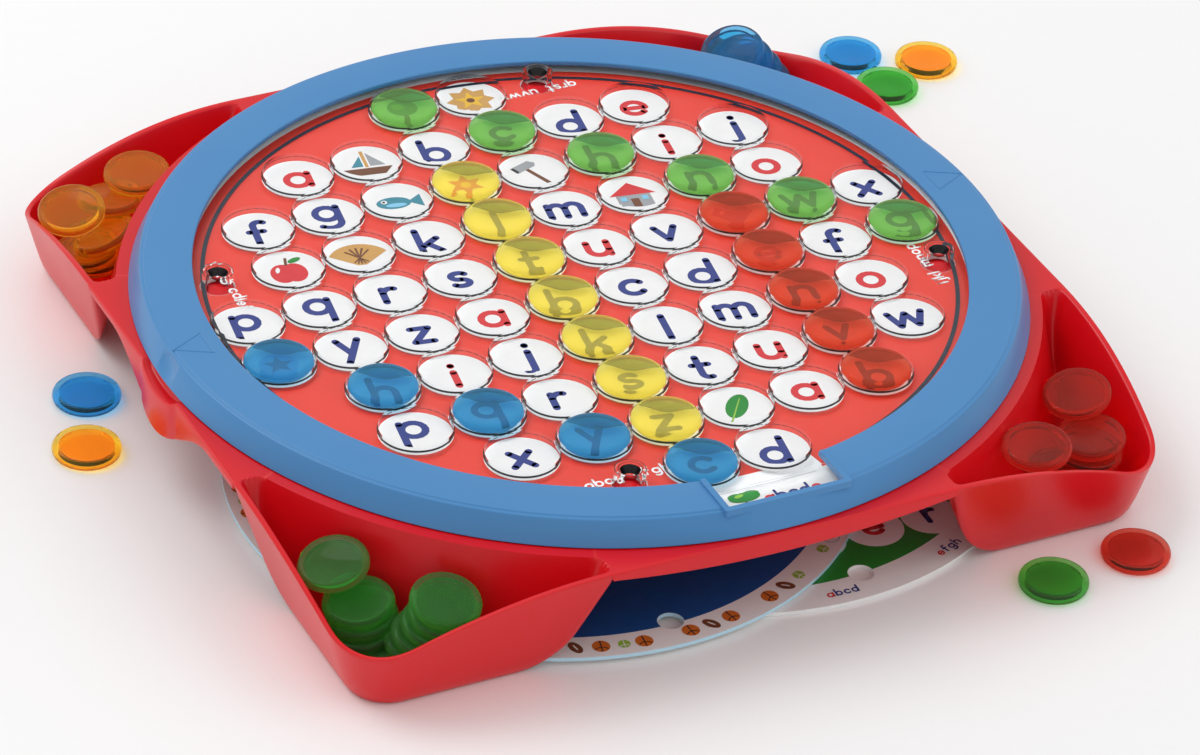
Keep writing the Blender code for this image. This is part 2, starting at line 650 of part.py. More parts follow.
def make_pocket_tokens(meshes, collection, cutters):
    """Fill the pockets: a heap of joined tokens with separate ones on it."""
    for colour, rows in HEAP_SHARES.items():
        heap = place_token("heap_" + colour, meshes[colour], (0, 0, 0), collection)
        lean_token(heap, colour, rows[0])
        for number, shares in enumerate(rows[1:], 1):
            piece = place_token(f"heap_{colour}_{number}", meshes[colour], (0, 0, 0), cutters)
            lean_token(piece, colour, shares)
            boolean(heap, hidden(piece), "UNION")
        for number, shares in enumerate(POCKET_TOKEN_SHARES[colour], 1):
            token = place_token(f"pocket_{colour}_{number}", meshes[colour], (0, 0, 0), collection)
            lean_token(token, colour, shares)


def main():
    """Build the whole game."""
    clear_scene()
    parts = make_collection(OBJECT_NAME)
    cutters = make_collection("cutters")
    make_tray(parts)
    make_card("card_disc", CARD_RADIUS, COLLAR_SITE_RADIUS, (0, 0), CARD_BOTTOM, 0, "card_red", parts,
              cutters)
    make_plate(parts, cutters)
    make_ring(parts, cutters)
    make_spare_discs(parts, cutters)
    meshes = {colour: token_mesh("token_" + colour, colour) for colour in BOARD_TOKENS}
    make_board_tokens(meshes, parts)
    make_table_tokens(meshes, parts)
    make_pocket_tokens(meshes, parts, cutters)


main()
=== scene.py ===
"""A word board game: a red tray with token pockets, a turning letter disc and a blue ring.

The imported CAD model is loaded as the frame, and each of its pieces is replaced by a finer one
in the finish of the real thing. All sizes are in metres.
"""

import logging
import math
from collections.abc import Callable, Iterable, Sequence
from dataclasses import dataclass
from enum import Enum

import bmesh
import bpy
from mathutils import Matrix, Vector


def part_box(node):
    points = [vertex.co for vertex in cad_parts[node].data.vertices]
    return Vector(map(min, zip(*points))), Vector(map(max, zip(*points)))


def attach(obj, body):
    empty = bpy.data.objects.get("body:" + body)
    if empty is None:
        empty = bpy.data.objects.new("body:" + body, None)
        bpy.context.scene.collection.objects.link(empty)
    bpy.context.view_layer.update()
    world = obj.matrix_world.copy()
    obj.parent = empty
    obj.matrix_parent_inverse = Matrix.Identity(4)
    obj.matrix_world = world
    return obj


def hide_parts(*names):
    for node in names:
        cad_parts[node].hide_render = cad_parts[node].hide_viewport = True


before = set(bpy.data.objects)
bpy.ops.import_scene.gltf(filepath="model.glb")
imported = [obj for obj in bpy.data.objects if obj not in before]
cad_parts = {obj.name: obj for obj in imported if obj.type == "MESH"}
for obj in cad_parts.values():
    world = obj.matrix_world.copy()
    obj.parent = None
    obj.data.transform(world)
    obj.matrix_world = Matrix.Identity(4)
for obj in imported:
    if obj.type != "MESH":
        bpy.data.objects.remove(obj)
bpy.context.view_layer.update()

LOG = logging.getLogger("word_game")

Point = tuple[float, float]
Line = list[Point]

FULL_TURN = 2 * math.pi

# Sizes that several pieces share, the same as the model's
PITCH = 0.0225
SEAT_GAP = 0.0003
TOKEN_RADIUS = 0.0102
TOKEN_THICKNESS = 0.0036
WELL_RADIUS = 0.0107
WELL_SPANS = ((4, 5), (2, 7), (1, 8), (1, 8), (0, 9), (0, 9), (1, 8), (1, 8), (2, 7), (4, 5))
COLLAR_SITES = ((-1.5, -4.5), (4.5, -1.5), (1.5, 4.5), (-4.5, 1.5))
COLLAR_RADIUS = 0.0046
DECK_HEIGHT = 0.0363
RIM_HEIGHT = 0.0345
CARD_THICKNESS = 0.0012
CARD_BOTTOM = DECK_HEIGHT + SEAT_GAP
CARD_TOP = CARD_BOTTOM + CARD_THICKNESS
PLATE_BOTTOM = CARD_TOP + SEAT_GAP
PLATE_TOP = PLATE_BOTTOM + 0.0027
CARD_HOLE_RADIUS = 0.0051
INK = 0.00003                # from one printed layer to the next
PLATE_FACE_RADIUS = PITCH * math.hypot(4.5, 0.5) + WELL_RADIUS + 0.0008
PLATE_RADIUS = PLATE_FACE_RADIUS + 0.0042
RING_BORE_RADIUS = PLATE_FACE_RADIUS + 0.0005
RING_TOP_RADIUS = RING_BORE_RADIUS + 0.0153
RING_FOOT_RADIUS = RING_TOP_RADIUS + 0.0034
CARD_RADIUS = RING_TOP_RADIUS - 0.0032
TRAY_HALF = RING_FOOT_RADIUS + 0.0011
AWAY = (0.466, 0.885)        # across the table, away from the side that is mostly looked from


# Colours and nodes


def linear(hex_colour: str) -> tuple[float, float, float, float]:
    """Turn an sRGB hex colour to linear light.

    Args:
        hex_colour: Six hex digits, such as "E3101F".

    Returns:
        Red, green, blue and an alpha of one.
    """
    shares = [int(hex_colour[i:i + 2], 16) / 255 for i in (0, 2, 4)]
    channels = [c / 12.92 if c <= 0.04045 else ((c + 0.055) / 1.055) ** 2.4 for c in shares]
    return (channels[0], channels[1], channels[2], 1.0)


def add_node(tree: bpy.types.NodeTree, kind: str, settings: dict | None = None,
             links: dict | None = None) -> bpy.types.Node:
    """Add one shader node with its settings and its incoming links.

    Args:
        tree: The node tree of a material or a world.
        kind: The node's type, such as "ShaderNodeTexNoise".
        settings: Attributes by name, and socket values by socket name or number.
        links: The sockets that feed this node, by socket name or number.

    Returns:
        The new node.
    """
    node = tree.nodes.new(kind)
    for key, value in (settings or {}).items():
        if isinstance(key, str) and key not in node.inputs and hasattr(node, key):
            setattr(node, key, value)
        else:
            node.inputs[key].default_value = value
    for key, socket in (links or {}).items():
        tree.links.new(socket, node.inputs[key])
    return node


def new_material(name: str, colour: str) -> bpy.types.Material:
    """Return an empty material with a node tree and a viewport colour."""
    material = bpy.data.materials.new(name)
    material.use_nodes = True
    material.node_tree.nodes.clear()
    material.diffuse_color = linear(colour)
    return material


def noise(tree: bpy.types.NodeTree, size: float, detail: float = 2.0) -> bpy.types.Node:
    """Add a noise texture whose patches are about this large, in the piece's own coordinates."""
    place = add_node(tree, "ShaderNodeTexCoord")
    return add_node(tree, "ShaderNodeTexNoise", {"Scale": 1 / size, "Detail": detail},
                    {"Vector": place.outputs["Object"]})


@dataclass(frozen=True)
class Skin:
    """What the moulding or printing leaves on a surface.

    Attributes:
        colour: Main colour.
        shade: Colour of its faint clouds.
        roughness: Middle roughness.
        spread: How far the roughness wanders.
        cloud: Size of the clouds.
        grain: Size of the fine relief.
        relief: Depth of the fine relief.
        ior: Index of refraction.
    """

    colour: str
    shade: str
    roughness: float
    spread: float
    cloud: float
    grain: float
    relief: float
    ior: float = 1.5

    def shader(self, tree: bpy.types.NodeTree, settings: dict | None = None) -> bpy.types.Node:
        """Add a Principled shader with the skin's clouds, uneven gloss and fine relief.

        Args:
            tree: The material's node tree.
            settings: Further socket values of the shader.

        Returns:
            The Principled node.
        """
        clouds = noise(tree, self.cloud)
        tint = add_node(tree, "ShaderNodeMix", {"data_type": "RGBA", 6: linear(self.colour),
                                                7: linear(self.shade)}, {0: clouds.outputs["Fac"]})
        gloss = add_node(tree, "ShaderNodeMapRange",
                         {"To Min": self.roughness - self.spread, "To Max": self.roughness + self.spread},
                         {"Value": clouds.outputs["Fac"]})
        grain = noise(tree, self.grain, 3.0)
        relief = add_node(tree, "ShaderNodeBump", {"Strength": 1.0, "Distance": self.relief},
                          {"Height": grain.outputs["Fac"]})
        return add_node(tree, "ShaderNodeBsdfPrincipled", {"IOR": self.ior} | (settings or {}),
                        {"Base Color": tint.outputs[2], "Roughness": gloss.outputs["Result"],
                         "Normal": relief.outputs["Normal"]})


@dataclass(frozen=True)
class Finish:
    """A finish of one real material, whose shader is made once."""

    name: str
    skin: Skin

    def material(self) -> bpy.types.Material:
        """Return the finish's material."""
        return bpy.data.materials.get(self.name) or self.made()

    def made(self) -> bpy.types.Material:
        """Make the material."""
        raise NotImplementedError


class MouldedPolystyrene(Finish):
    """High-impact polystyrene, injection moulded in a polished mould.

    An even, satin-glossy solid colour, with faint flow clouds and a barely felt skin texture.
    """

    def made(self) -> bpy.types.Material:
        """Make the material."""
        made = new_material(self.name, self.skin.colour)
        shader = self.skin.shader(made.node_tree)
        add_node(made.node_tree, "ShaderNodeOutputMaterial", {}, {"Surface": shader.outputs[0]})
        return made


@dataclass(frozen=True)
class ClearPolystyrene(Finish):
    """General-purpose polystyrene, injection moulded: clear as glass, plain or tinted right through.

    Lamps shine through it in its own tint, as they do through thin clear plastic. Where it isn't
    wholly clear, the rest of it glows in the tint, as dyed plastic does.
    """

    light_tint: str
    clearness: float = 1.0

    def made(self) -> bpy.types.Material:
        """Make the material."""
        made = new_material(self.name, self.skin.colour)
        tree = made.node_tree
        shader = self.skin.shader(tree, {"Transmission Weight": self.clearness})
        passed = add_node(tree, "ShaderNodeBsdfTransparent", {"Color": linear(self.light_tint)})
        ray = add_node(tree, "ShaderNodeLightPath")
        mixed = add_node(tree, "ShaderNodeMixShader", {}, {0: ray.outputs["Is Shadow Ray"],
                                                           1: shader.outputs[0], 2: passed.outputs[0]})
        add_node(tree, "ShaderNodeOutputMaterial", {}, {"Surface": mixed.outputs[0]})
        return made


class PrintedBoard(Finish):
    """Greyboard lined with paper, offset printed and varnished.

    Flat inks under a thin even varnish, which lets the paper's fibres show as a slight unevenness.
    """

    def made(self) -> bpy.types.Material:
        """Make the material."""
        made = new_material(self.name, self.skin.colour)
        shader = self.skin.shader(made.node_tree, {"Coat Weight": 0.25, "Coat Roughness": 0.2})
        add_node(made.node_tree, "ShaderNodeOutputMaterial", {}, {"Surface": shader.outputs[0]})
        return made


def moulded(name: str, colour: str, shade: str, roughness: float) -> MouldedPolystyrene:
    """Return moulded polystyrene: clouds 30 mm wide, and a skin of 0.5 mm cells."""
    return MouldedPolystyrene(name, Skin(colour, shade, roughness, 0.04, 0.030, 0.0005, 0.000004, 1.45))


def tinted(name: str, colour: str, shade: str, light_tint: str, clearness: float = 0.75) -> ClearPolystyrene:
    """Return tinted clear polystyrene: clouds 6 mm wide, and ripples of 4 mm."""
    skin = Skin(colour, shade, 0.035, 0.02, 0.006, 0.004, 0.00002, 1.16)
    return ClearPolystyrene(name, skin, light_tint, clearness)


def printed(name: str, colour: str, shade: str) -> PrintedBoard:
    """Return an ink on board: clouds 5 mm wide, and fibres drawn 0.3 mm long, coarse enough to show."""
    return PrintedBoard(name, Skin(colour, shade, 0.42, 0.05, 0.005, 0.0003, 0.000004))


class Hue(Enum):
    """The four players' colours."""

    GREEN = "green"
    YELLOW = "yellow"
    RED = "red"
    BLUE = "blue"


class Ink(Enum):
    """The printing inks: name and colour, each with the shade of its clouds."""

    PAPER = ("F7F7F5", "EFEFEE")
    FIELD = ("E33A28", "DC3423")
    WHITE = ("FCFCFC", "F3F3F4")
    NAVY = ("2A3C8E", "253682")
    SCARLET = ("E2333A", "D62A31")
    DEEP_BLUE = ("00549C", "004A8C")
    LEAF = ("1C9431", "17852B")
    LIME = ("9CCB4A", "8DBD3F")
    TEAL = ("3E93A6", "35859A")
    TAN = ("D9A85F", "C99750")
    BROWN = ("7B4A2D", "6B3E25")
    GREY = ("A9ADB2", "989CA2")
    GOLD = ("F3C43B", "E6B52E")
    SKY = ("8FD3F4", "7FC6EA")
    BLACK = ("26262B", "1E1E22")
    ORANGE = ("D9772E", "C86A25")
    # A painted glow on the cut edge of the blue spare disc
    ICE = ("C4E8F8", "B6E0F4")
    # Painted reflection of the ring's inner wall, printed as a dark line on the letter disc
    SHADE = ("1F2C3D", "182433")

    def material(self) -> bpy.types.Material:
        """Return this ink's material, made once."""
        return printed("ink_" + self.name.lower(), *self.value).material()


TRAY_RED = moulded("tray_red_moulded_polystyrene", "E20E1B", "D80C18", 0.30)
RING_BLUE = moulded("ring_blue_moulded_polystyrene", "4A8BC3", "4585BE", 0.30)
CLEAR = ClearPolystyrene("clear_moulded_polystyrene",
                         Skin("FFFFFF", "FAFCFD", 0.02, 0.01, 0.030, 0.020, 0.00001, 1.07), "FBFDFE")
# Painted shade: a near-black sheet that stands for the dark that refraction shows at the edges of the clear
# plate's wells and collars
WELL_EDGE = moulded("clear_edge_seen_through_its_length", "08090B", "101215", 0.30)
# Token plastic in colours set for tokens on the board, which the printed disc lights from below
TOKEN_FINISHES = {
    Hue.GREEN: tinted("green_token_polystyrene", "A7DA86", "9FD47E", "E4F6E4"),
    Hue.YELLOW: tinted("yellow_token_polystyrene", "FCF186", "FAEC7C", "FFFBE4"),
    Hue.RED: tinted("red_token_polystyrene", "EF7556", "EA6D4E", "F9DBD6"),
    Hue.BLUE: tinted("blue_token_polystyrene", "64B7DD", "5DB0D8", "E4F6FC"),
}
# Painted light: the same token plastic in other colours, set for tokens in the pockets and on the table,
# which no printed disc lights from below
WAITING_FINISHES = {
    Hue.GREEN: tinted("green_waiting_token_polystyrene", "93E086", "8BDA7E", "DDF6D8", 0.90),
    Hue.YELLOW: tinted("yellow_waiting_token_polystyrene", "FFE673", "FFE068", "FFF6CC", 0.90),
    Hue.RED: tinted("red_waiting_token_polystyrene", "F27E6C", "EE7563", "FBDCD6", 0.90),
    Hue.BLUE: tinted("blue_waiting_token_polystyrene", "78CBF6", "70C5F2", "D8F0FC", 0.90),
}
# Painted shade: a darker tint set in each token on the board, a crescent on its far side that stands for the
# dark its rim refracts
TOKEN_DEPTHS = {
    Hue.GREEN: tinted("green_token_depth", "3DB9C1", "38B2BA", "A9DCC4", 1.0),
    Hue.YELLOW: tinted("yellow_token_depth", "A6B29A", "9FAB93", "E0DCA8", 1.0),
    Hue.RED: tinted("red_token_depth", "B78C9E", "B08597", "E0B8B4", 1.0),
    Hue.BLUE: tinted("blue_token_depth", "7EAEC7", "77A7C0", "B0D6EC", 1.0),
}
# Painted shade: a darker core set in the middle of tokens in the pockets and on the table, which leaves their
# rims looking lit by the light they gather
TOKEN_CORES = {
    Hue.GREEN: tinted("green_token_core", "86D886", "80D280", "DDF4DE", 1.0),
    Hue.YELLOW: tinted("yellow_token_core", "FFC44A", "FBBE42", "FFEEC8", 1.0),
    Hue.RED: tinted("red_token_core", "F29C8C", "EE9484", "FFDED0", 1.0),
    Hue.BLUE: tinted("blue_token_core", "84DCEA", "7CD6E4", "D2EEF6", 1.0),
}


# Outlines and meshes


def arc(centre: Point, radius: float, start: float, end: float, steps: int = 14) -> Line:
    """Return points on an arc.

    Args:
        centre: The arc's centre.
        radius: The arc's radius.
        start: Where it starts, in degrees.
        end: Where it ends, in degrees.
        steps: How many straight pieces it has.

    Returns:
        The points from start to end.
    """
    turns = [math.radians(start + (end - start) * i / steps) for i in range(steps + 1)]
    return [(centre[0] + radius * math.cos(t), centre[1] + radius * math.sin(t)) for t in turns]


def circle(centre: Point, radius: float, steps: int = 32) -> Line:
    """Return a closed circle without a double point."""
    return arc(centre, radius, 0, 360, steps)[:-1]


def oval(centre: Point, width: float, height: float, lean: float = 0.0, steps: int = 20) -> Line:
    """Return a closed ellipse, turned by its lean in degrees."""
    turn = math.radians(lean)
    flat = [(x * width / 2, y * height / 2) for x, y in circle((0, 0), 1, steps)]
    return [(centre[0] + x * math.cos(turn) - y * math.sin(turn),
             centre[1] + x * math.sin(turn) + y * math.cos(turn)) for x, y in flat]


def placed(line: Line, place: Point, turn: float = 0.0, size: float = 1.0) -> Line:
    """Return a line scaled, turned (in radians) and moved to a place."""
    c, s = size * math.cos(turn), size * math.sin(turn)
    return [(place[0] + x * c - y * s, place[1] + x * s + y * c) for x, y in line]


def rounded(profile: Sequence[tuple[float, float, float]], steps: int = 4) -> Line:
    """Round the corners of an outline.

    Args:
        profile: Across, height and corner radius of each point of a closed outline.
        steps: How many straight pieces a corner gets.

    Returns:
        The outline, with steps + 1 points for each corner.
    """
    out: Line = []
    count = len(profile)
    for i, (x, y, radius) in enumerate(profile):
        here = Vector((x, y))
        before = Vector(profile[i - 1][:2]) - here
        after = Vector(profile[(i + 1) % count][:2]) - here
        reach = min(radius, before.length * 0.45, after.length * 0.45)
        start = here + before.normalized() * reach if before.length else here
        end = here + after.normalized() * reach if after.length else here
        for k in range(steps + 1):
            t = k / steps
            point = start * (1 - t) ** 2 + here * 2 * t * (1 - t) + end * t ** 2
            out.append((point.x, point.y))
    return out


class Shape:
    """Gathers the points and faces of one mesh, in one or more finishes."""

    def __init__(self) -> None:
        """Start an empty shape."""
        self.points: list[tuple[float, float, float]] = []
        self.faces: list[tuple[int, ...]] = []
        self.slots: list[int] = []

    def add(self, points: Iterable[tuple[float, float, float]], faces: Iterable[Sequence[int]],
            slot: int = 0) -> None:
        """Add points and the faces between them.

        Args:
            points: New points.
            faces: Faces, by the numbers of the new points.
            slot: The finish of the new faces.
        """
        base = len(self.points)
        self.points.extend(points)
        for face in faces:
            self.faces.append(tuple(base + i for i in face))
            self.slots.append(slot)

    def grid(self, rows: Sequence[Sequence[tuple[float, float, float]]], is_ring: bool = True,
             is_closed: bool = True, slot: int = 0) -> None:
        """Add a sheet through rows of points.

        Args:
            rows: Rows with the same number of points.
            is_ring: True if the last row joins the first.
            is_closed: True if each row is a closed outline.
            slot: The finish of the sheet.
        """
        wide, count = len(rows[0]), len(rows)
        faces = []
        for i in range(count if is_ring else count - 1):
            j = (i + 1) % count
            for k in range(wide if is_closed else wide - 1):
                m = (k + 1) % wide
                faces.append((i * wide + k, i * wide + m, j * wide + m, j * wide + k))
        self.add([point for row in rows for point in row], faces, slot)

    def slab(self, outline: Line, low: float, high: float, slot: int = 0) -> None:
        """Add a flat closed body over an anticlockwise outline."""
        self.flat(outline, high, slot)
        self.flat(outline, low, slot, faces_down=True)
        self.wall(outline, low, high, slot=slot)

    def join(self, other: "Shape", middle: Vector, turn: Matrix) -> None:
        """Add another shape, turned and moved to a place."""
        base = len(self.points)
        self.points.extend(tuple(middle + turn @ Vector(point)) for point in other.points)
        self.faces.extend(tuple(base + i for i in face) for face in other.faces)
        self.slots.extend(other.slots)

    def lathe(self, profile: Line, segments: int, centre: tuple[float, float, float] = (0, 0, 0),
              is_closed: bool = True, slot: int = 0) -> None:
        """Turn an outline of radius and height about an upright axis.

        Args:
            profile: The outline, which runs down its outer side.
            segments: How many flat sides the turned shape has.
            centre: A point on the axis, from which heights count.
            is_closed: True if the outline is closed.
            slot: The finish.
        """
        turns = [FULL_TURN * i / segments for i in range(segments)]
        self.grid([[(centre[0] + r * math.cos(t), centre[1] + r * math.sin(t), centre[2] + z)
                    for r, z in profile] for t in turns], True, is_closed, slot)

    def flat(self, outline: Line, height: float, slot: int = 0, holes: Sequence[Line] = (),
             faces_down: bool = False) -> None:
        """Add a level face, with or without holes.

        Args:
            outline: Its closed outline, anticlockwise.
            height: Its height.
            slot: Its finish.
            holes: Closed outlines to leave open.
            faces_down: True for an underside.
        """
        if not holes:
            order = range(len(outline))
            self.add([(x, y, height) for x, y in outline], [tuple(reversed(order)) if faces_down else
                                                            tuple(order)], slot)
            return
        bm = bmesh.new()
        for line in (outline, *holes):
            ring = [bm.verts.new((x, y, 0)) for x, y in line]
            for a, b in zip(ring, ring[1:] + ring[:1]):
                bm.edges.new((a, b))
        bmesh.ops.triangle_fill(bm, use_beauty=True, use_dissolve=False, edges=bm.edges, normal=(0, 0, 1))
        bm.verts.index_update()
        faces = []
        for face in bm.faces:
            around = [v.index for v in face.verts]
            is_up = face.calc_area() > 0 and face.normal.z > 0
            faces.append(around if is_up != faces_down else around[::-1])
        self.add([(v.co.x, v.co.y, height) for v in bm.verts], faces, slot)
        bm.free()

    def wall(self, outline: Line, low: float, high: float, faces_in: bool = False, slot: int = 0) -> None:
        """Add an upright wall over an anticlockwise outline.

        Args:
            outline: Its closed outline.
            low: Height of its foot.
            high: Height of its top.
            faces_in: True if it faces the inside of the outline.
            slot: Its finish.
        """
        top = [(x, y, high) for x, y in outline]
        foot = [(x, y, low) for x, y in outline]
        self.grid([foot, top] if not faces_in else [top, foot], False, True, slot)

    def stroke(self, line: Line, width: float, height: float, slot: int = 0) -> None:
        """Add a flat printed line with round ends.

        Args:
            line: Its middle line.
            width: Its width.
            height: Its height.
            slot: Its ink.
        """
        points = [Vector(p) for p in line]
        is_loop = (points[0] - points[-1]).length < width * 0.01
        left, right = [], []
        for i, here in enumerate(points):
            if is_loop:
                before, after = points[i - 1 if i else -2], points[i + 1 if i < len(points) - 1 else 1]
            else:
                before, after = points[max(i - 1, 0)], points[min(i + 1, len(points) - 1)]
            along = (after - before).normalized()
            aside = Vector((-along.y, along.x)) * width / 2
            left.append((here.x + aside.x, here.y + aside.y, height))
            right.append((here.x - aside.x, here.y - aside.y, height))
        count = len(points)
        self.add(left + right, [(i, count + i, count + i + 1, i + 1) for i in range(count - 1)], slot)
        if not is_loop:
            for end in (points[0], points[-1]):
                self.flat(circle((end.x, end.y), width / 2, 12), height, slot)

    def build(self, name: str, materials: Sequence[bpy.types.Material], sharp: float = 35.0,
              merge: float = 0.0) -> bpy.types.Object:
        """Turn the shape into an object.

        Args:
            name: The piece's name.
            materials: Its finishes, by slot.
            sharp: Above this angle in degrees an edge stays sharp.
            merge: Points nearer than this become one.

        Returns:
            The object, linked to the scene.
        """
        mesh = bpy.data.meshes.new(name)
        mesh.from_pydata(self.points, [], self.faces)
        for material in materials:
            mesh.materials.append(material)
        mesh.polygons.foreach_set("material_index", self.slots)
        if merge:
            bm = bmesh.new()
            bm.from_mesh(mesh)
            bmesh.ops.remove_doubles(bm, verts=bm.verts, dist=merge)
            bmesh.ops.recalc_face_normals(bm, faces=bm.faces)
            bm.to_mesh(mesh)
            bm.free()
        mesh.shade_smooth()
        mesh.set_sharp_from_angle(angle=math.radians(sharp))
        mesh.update()
        obj = bpy.data.objects.new(name, mesh)
        bpy.context.scene.collection.objects.link(obj)
        return obj


def dress(obj: bpy.types.Object, body: str, slot: str, nodes: Sequence[str] = ()) -> bpy.types.Object:
    """Let a finished piece ride on a body, in place of the model's own pieces.

    Args:
        obj: The finished piece.
        body: The moving body that carries it.
        slot: The record's material slot; not used.
        nodes: The pieces of the model that it stands for.

    Returns:
        The same piece.
    """
    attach(obj, body)
    if nodes:
        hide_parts(*nodes)
    LOG.info("%s rides on %s with %d faces", obj.name, body, len(obj.data.polygons))
    return obj


def cut(target: bpy.types.Object, tools: Sequence[tuple[bpy.types.Object, str]]) -> None:
    """Apply exact Booleans to a piece and remove the tools.

    Args:
        target: The piece.
        tools: Each tool with "UNION" or "DIFFERENCE".
    """
    for tool, operation in tools:
        step = target.modifiers.new(operation.lower(), "BOOLEAN")
        step.object = tool
        step.operation = operation
        step.solver = "EXACT"
    bpy.context.view_layer.update()
    graph = bpy.context.evaluated_depsgraph_get()
    mesh = bpy.data.meshes.new_from_object(target.evaluated_get(graph))
    target.modifiers.clear()
    target.data = mesh
    for tool, _ in tools:
        bpy.data.objects.remove(tool, do_unlink=True)
    mesh.shade_smooth()
    mesh.set_sharp_from_angle(angle=math.radians(35.0))


def well_places() -> dict[tuple[int, int], Point]:
    """Return the plan places of all wells, by column and row."""
    return {(c, r): (PITCH * (c - 4.5), PITCH * (4.5 - r))
            for r, (first, last) in enumerate(WELL_SPANS) for c in range(first, last + 1)}


def collar_places() -> list[Point]:
    """Return the plan places of the four collars."""
    return [(x * PITCH, y * PITCH) for x, y in COLLAR_SITES]


# The tray


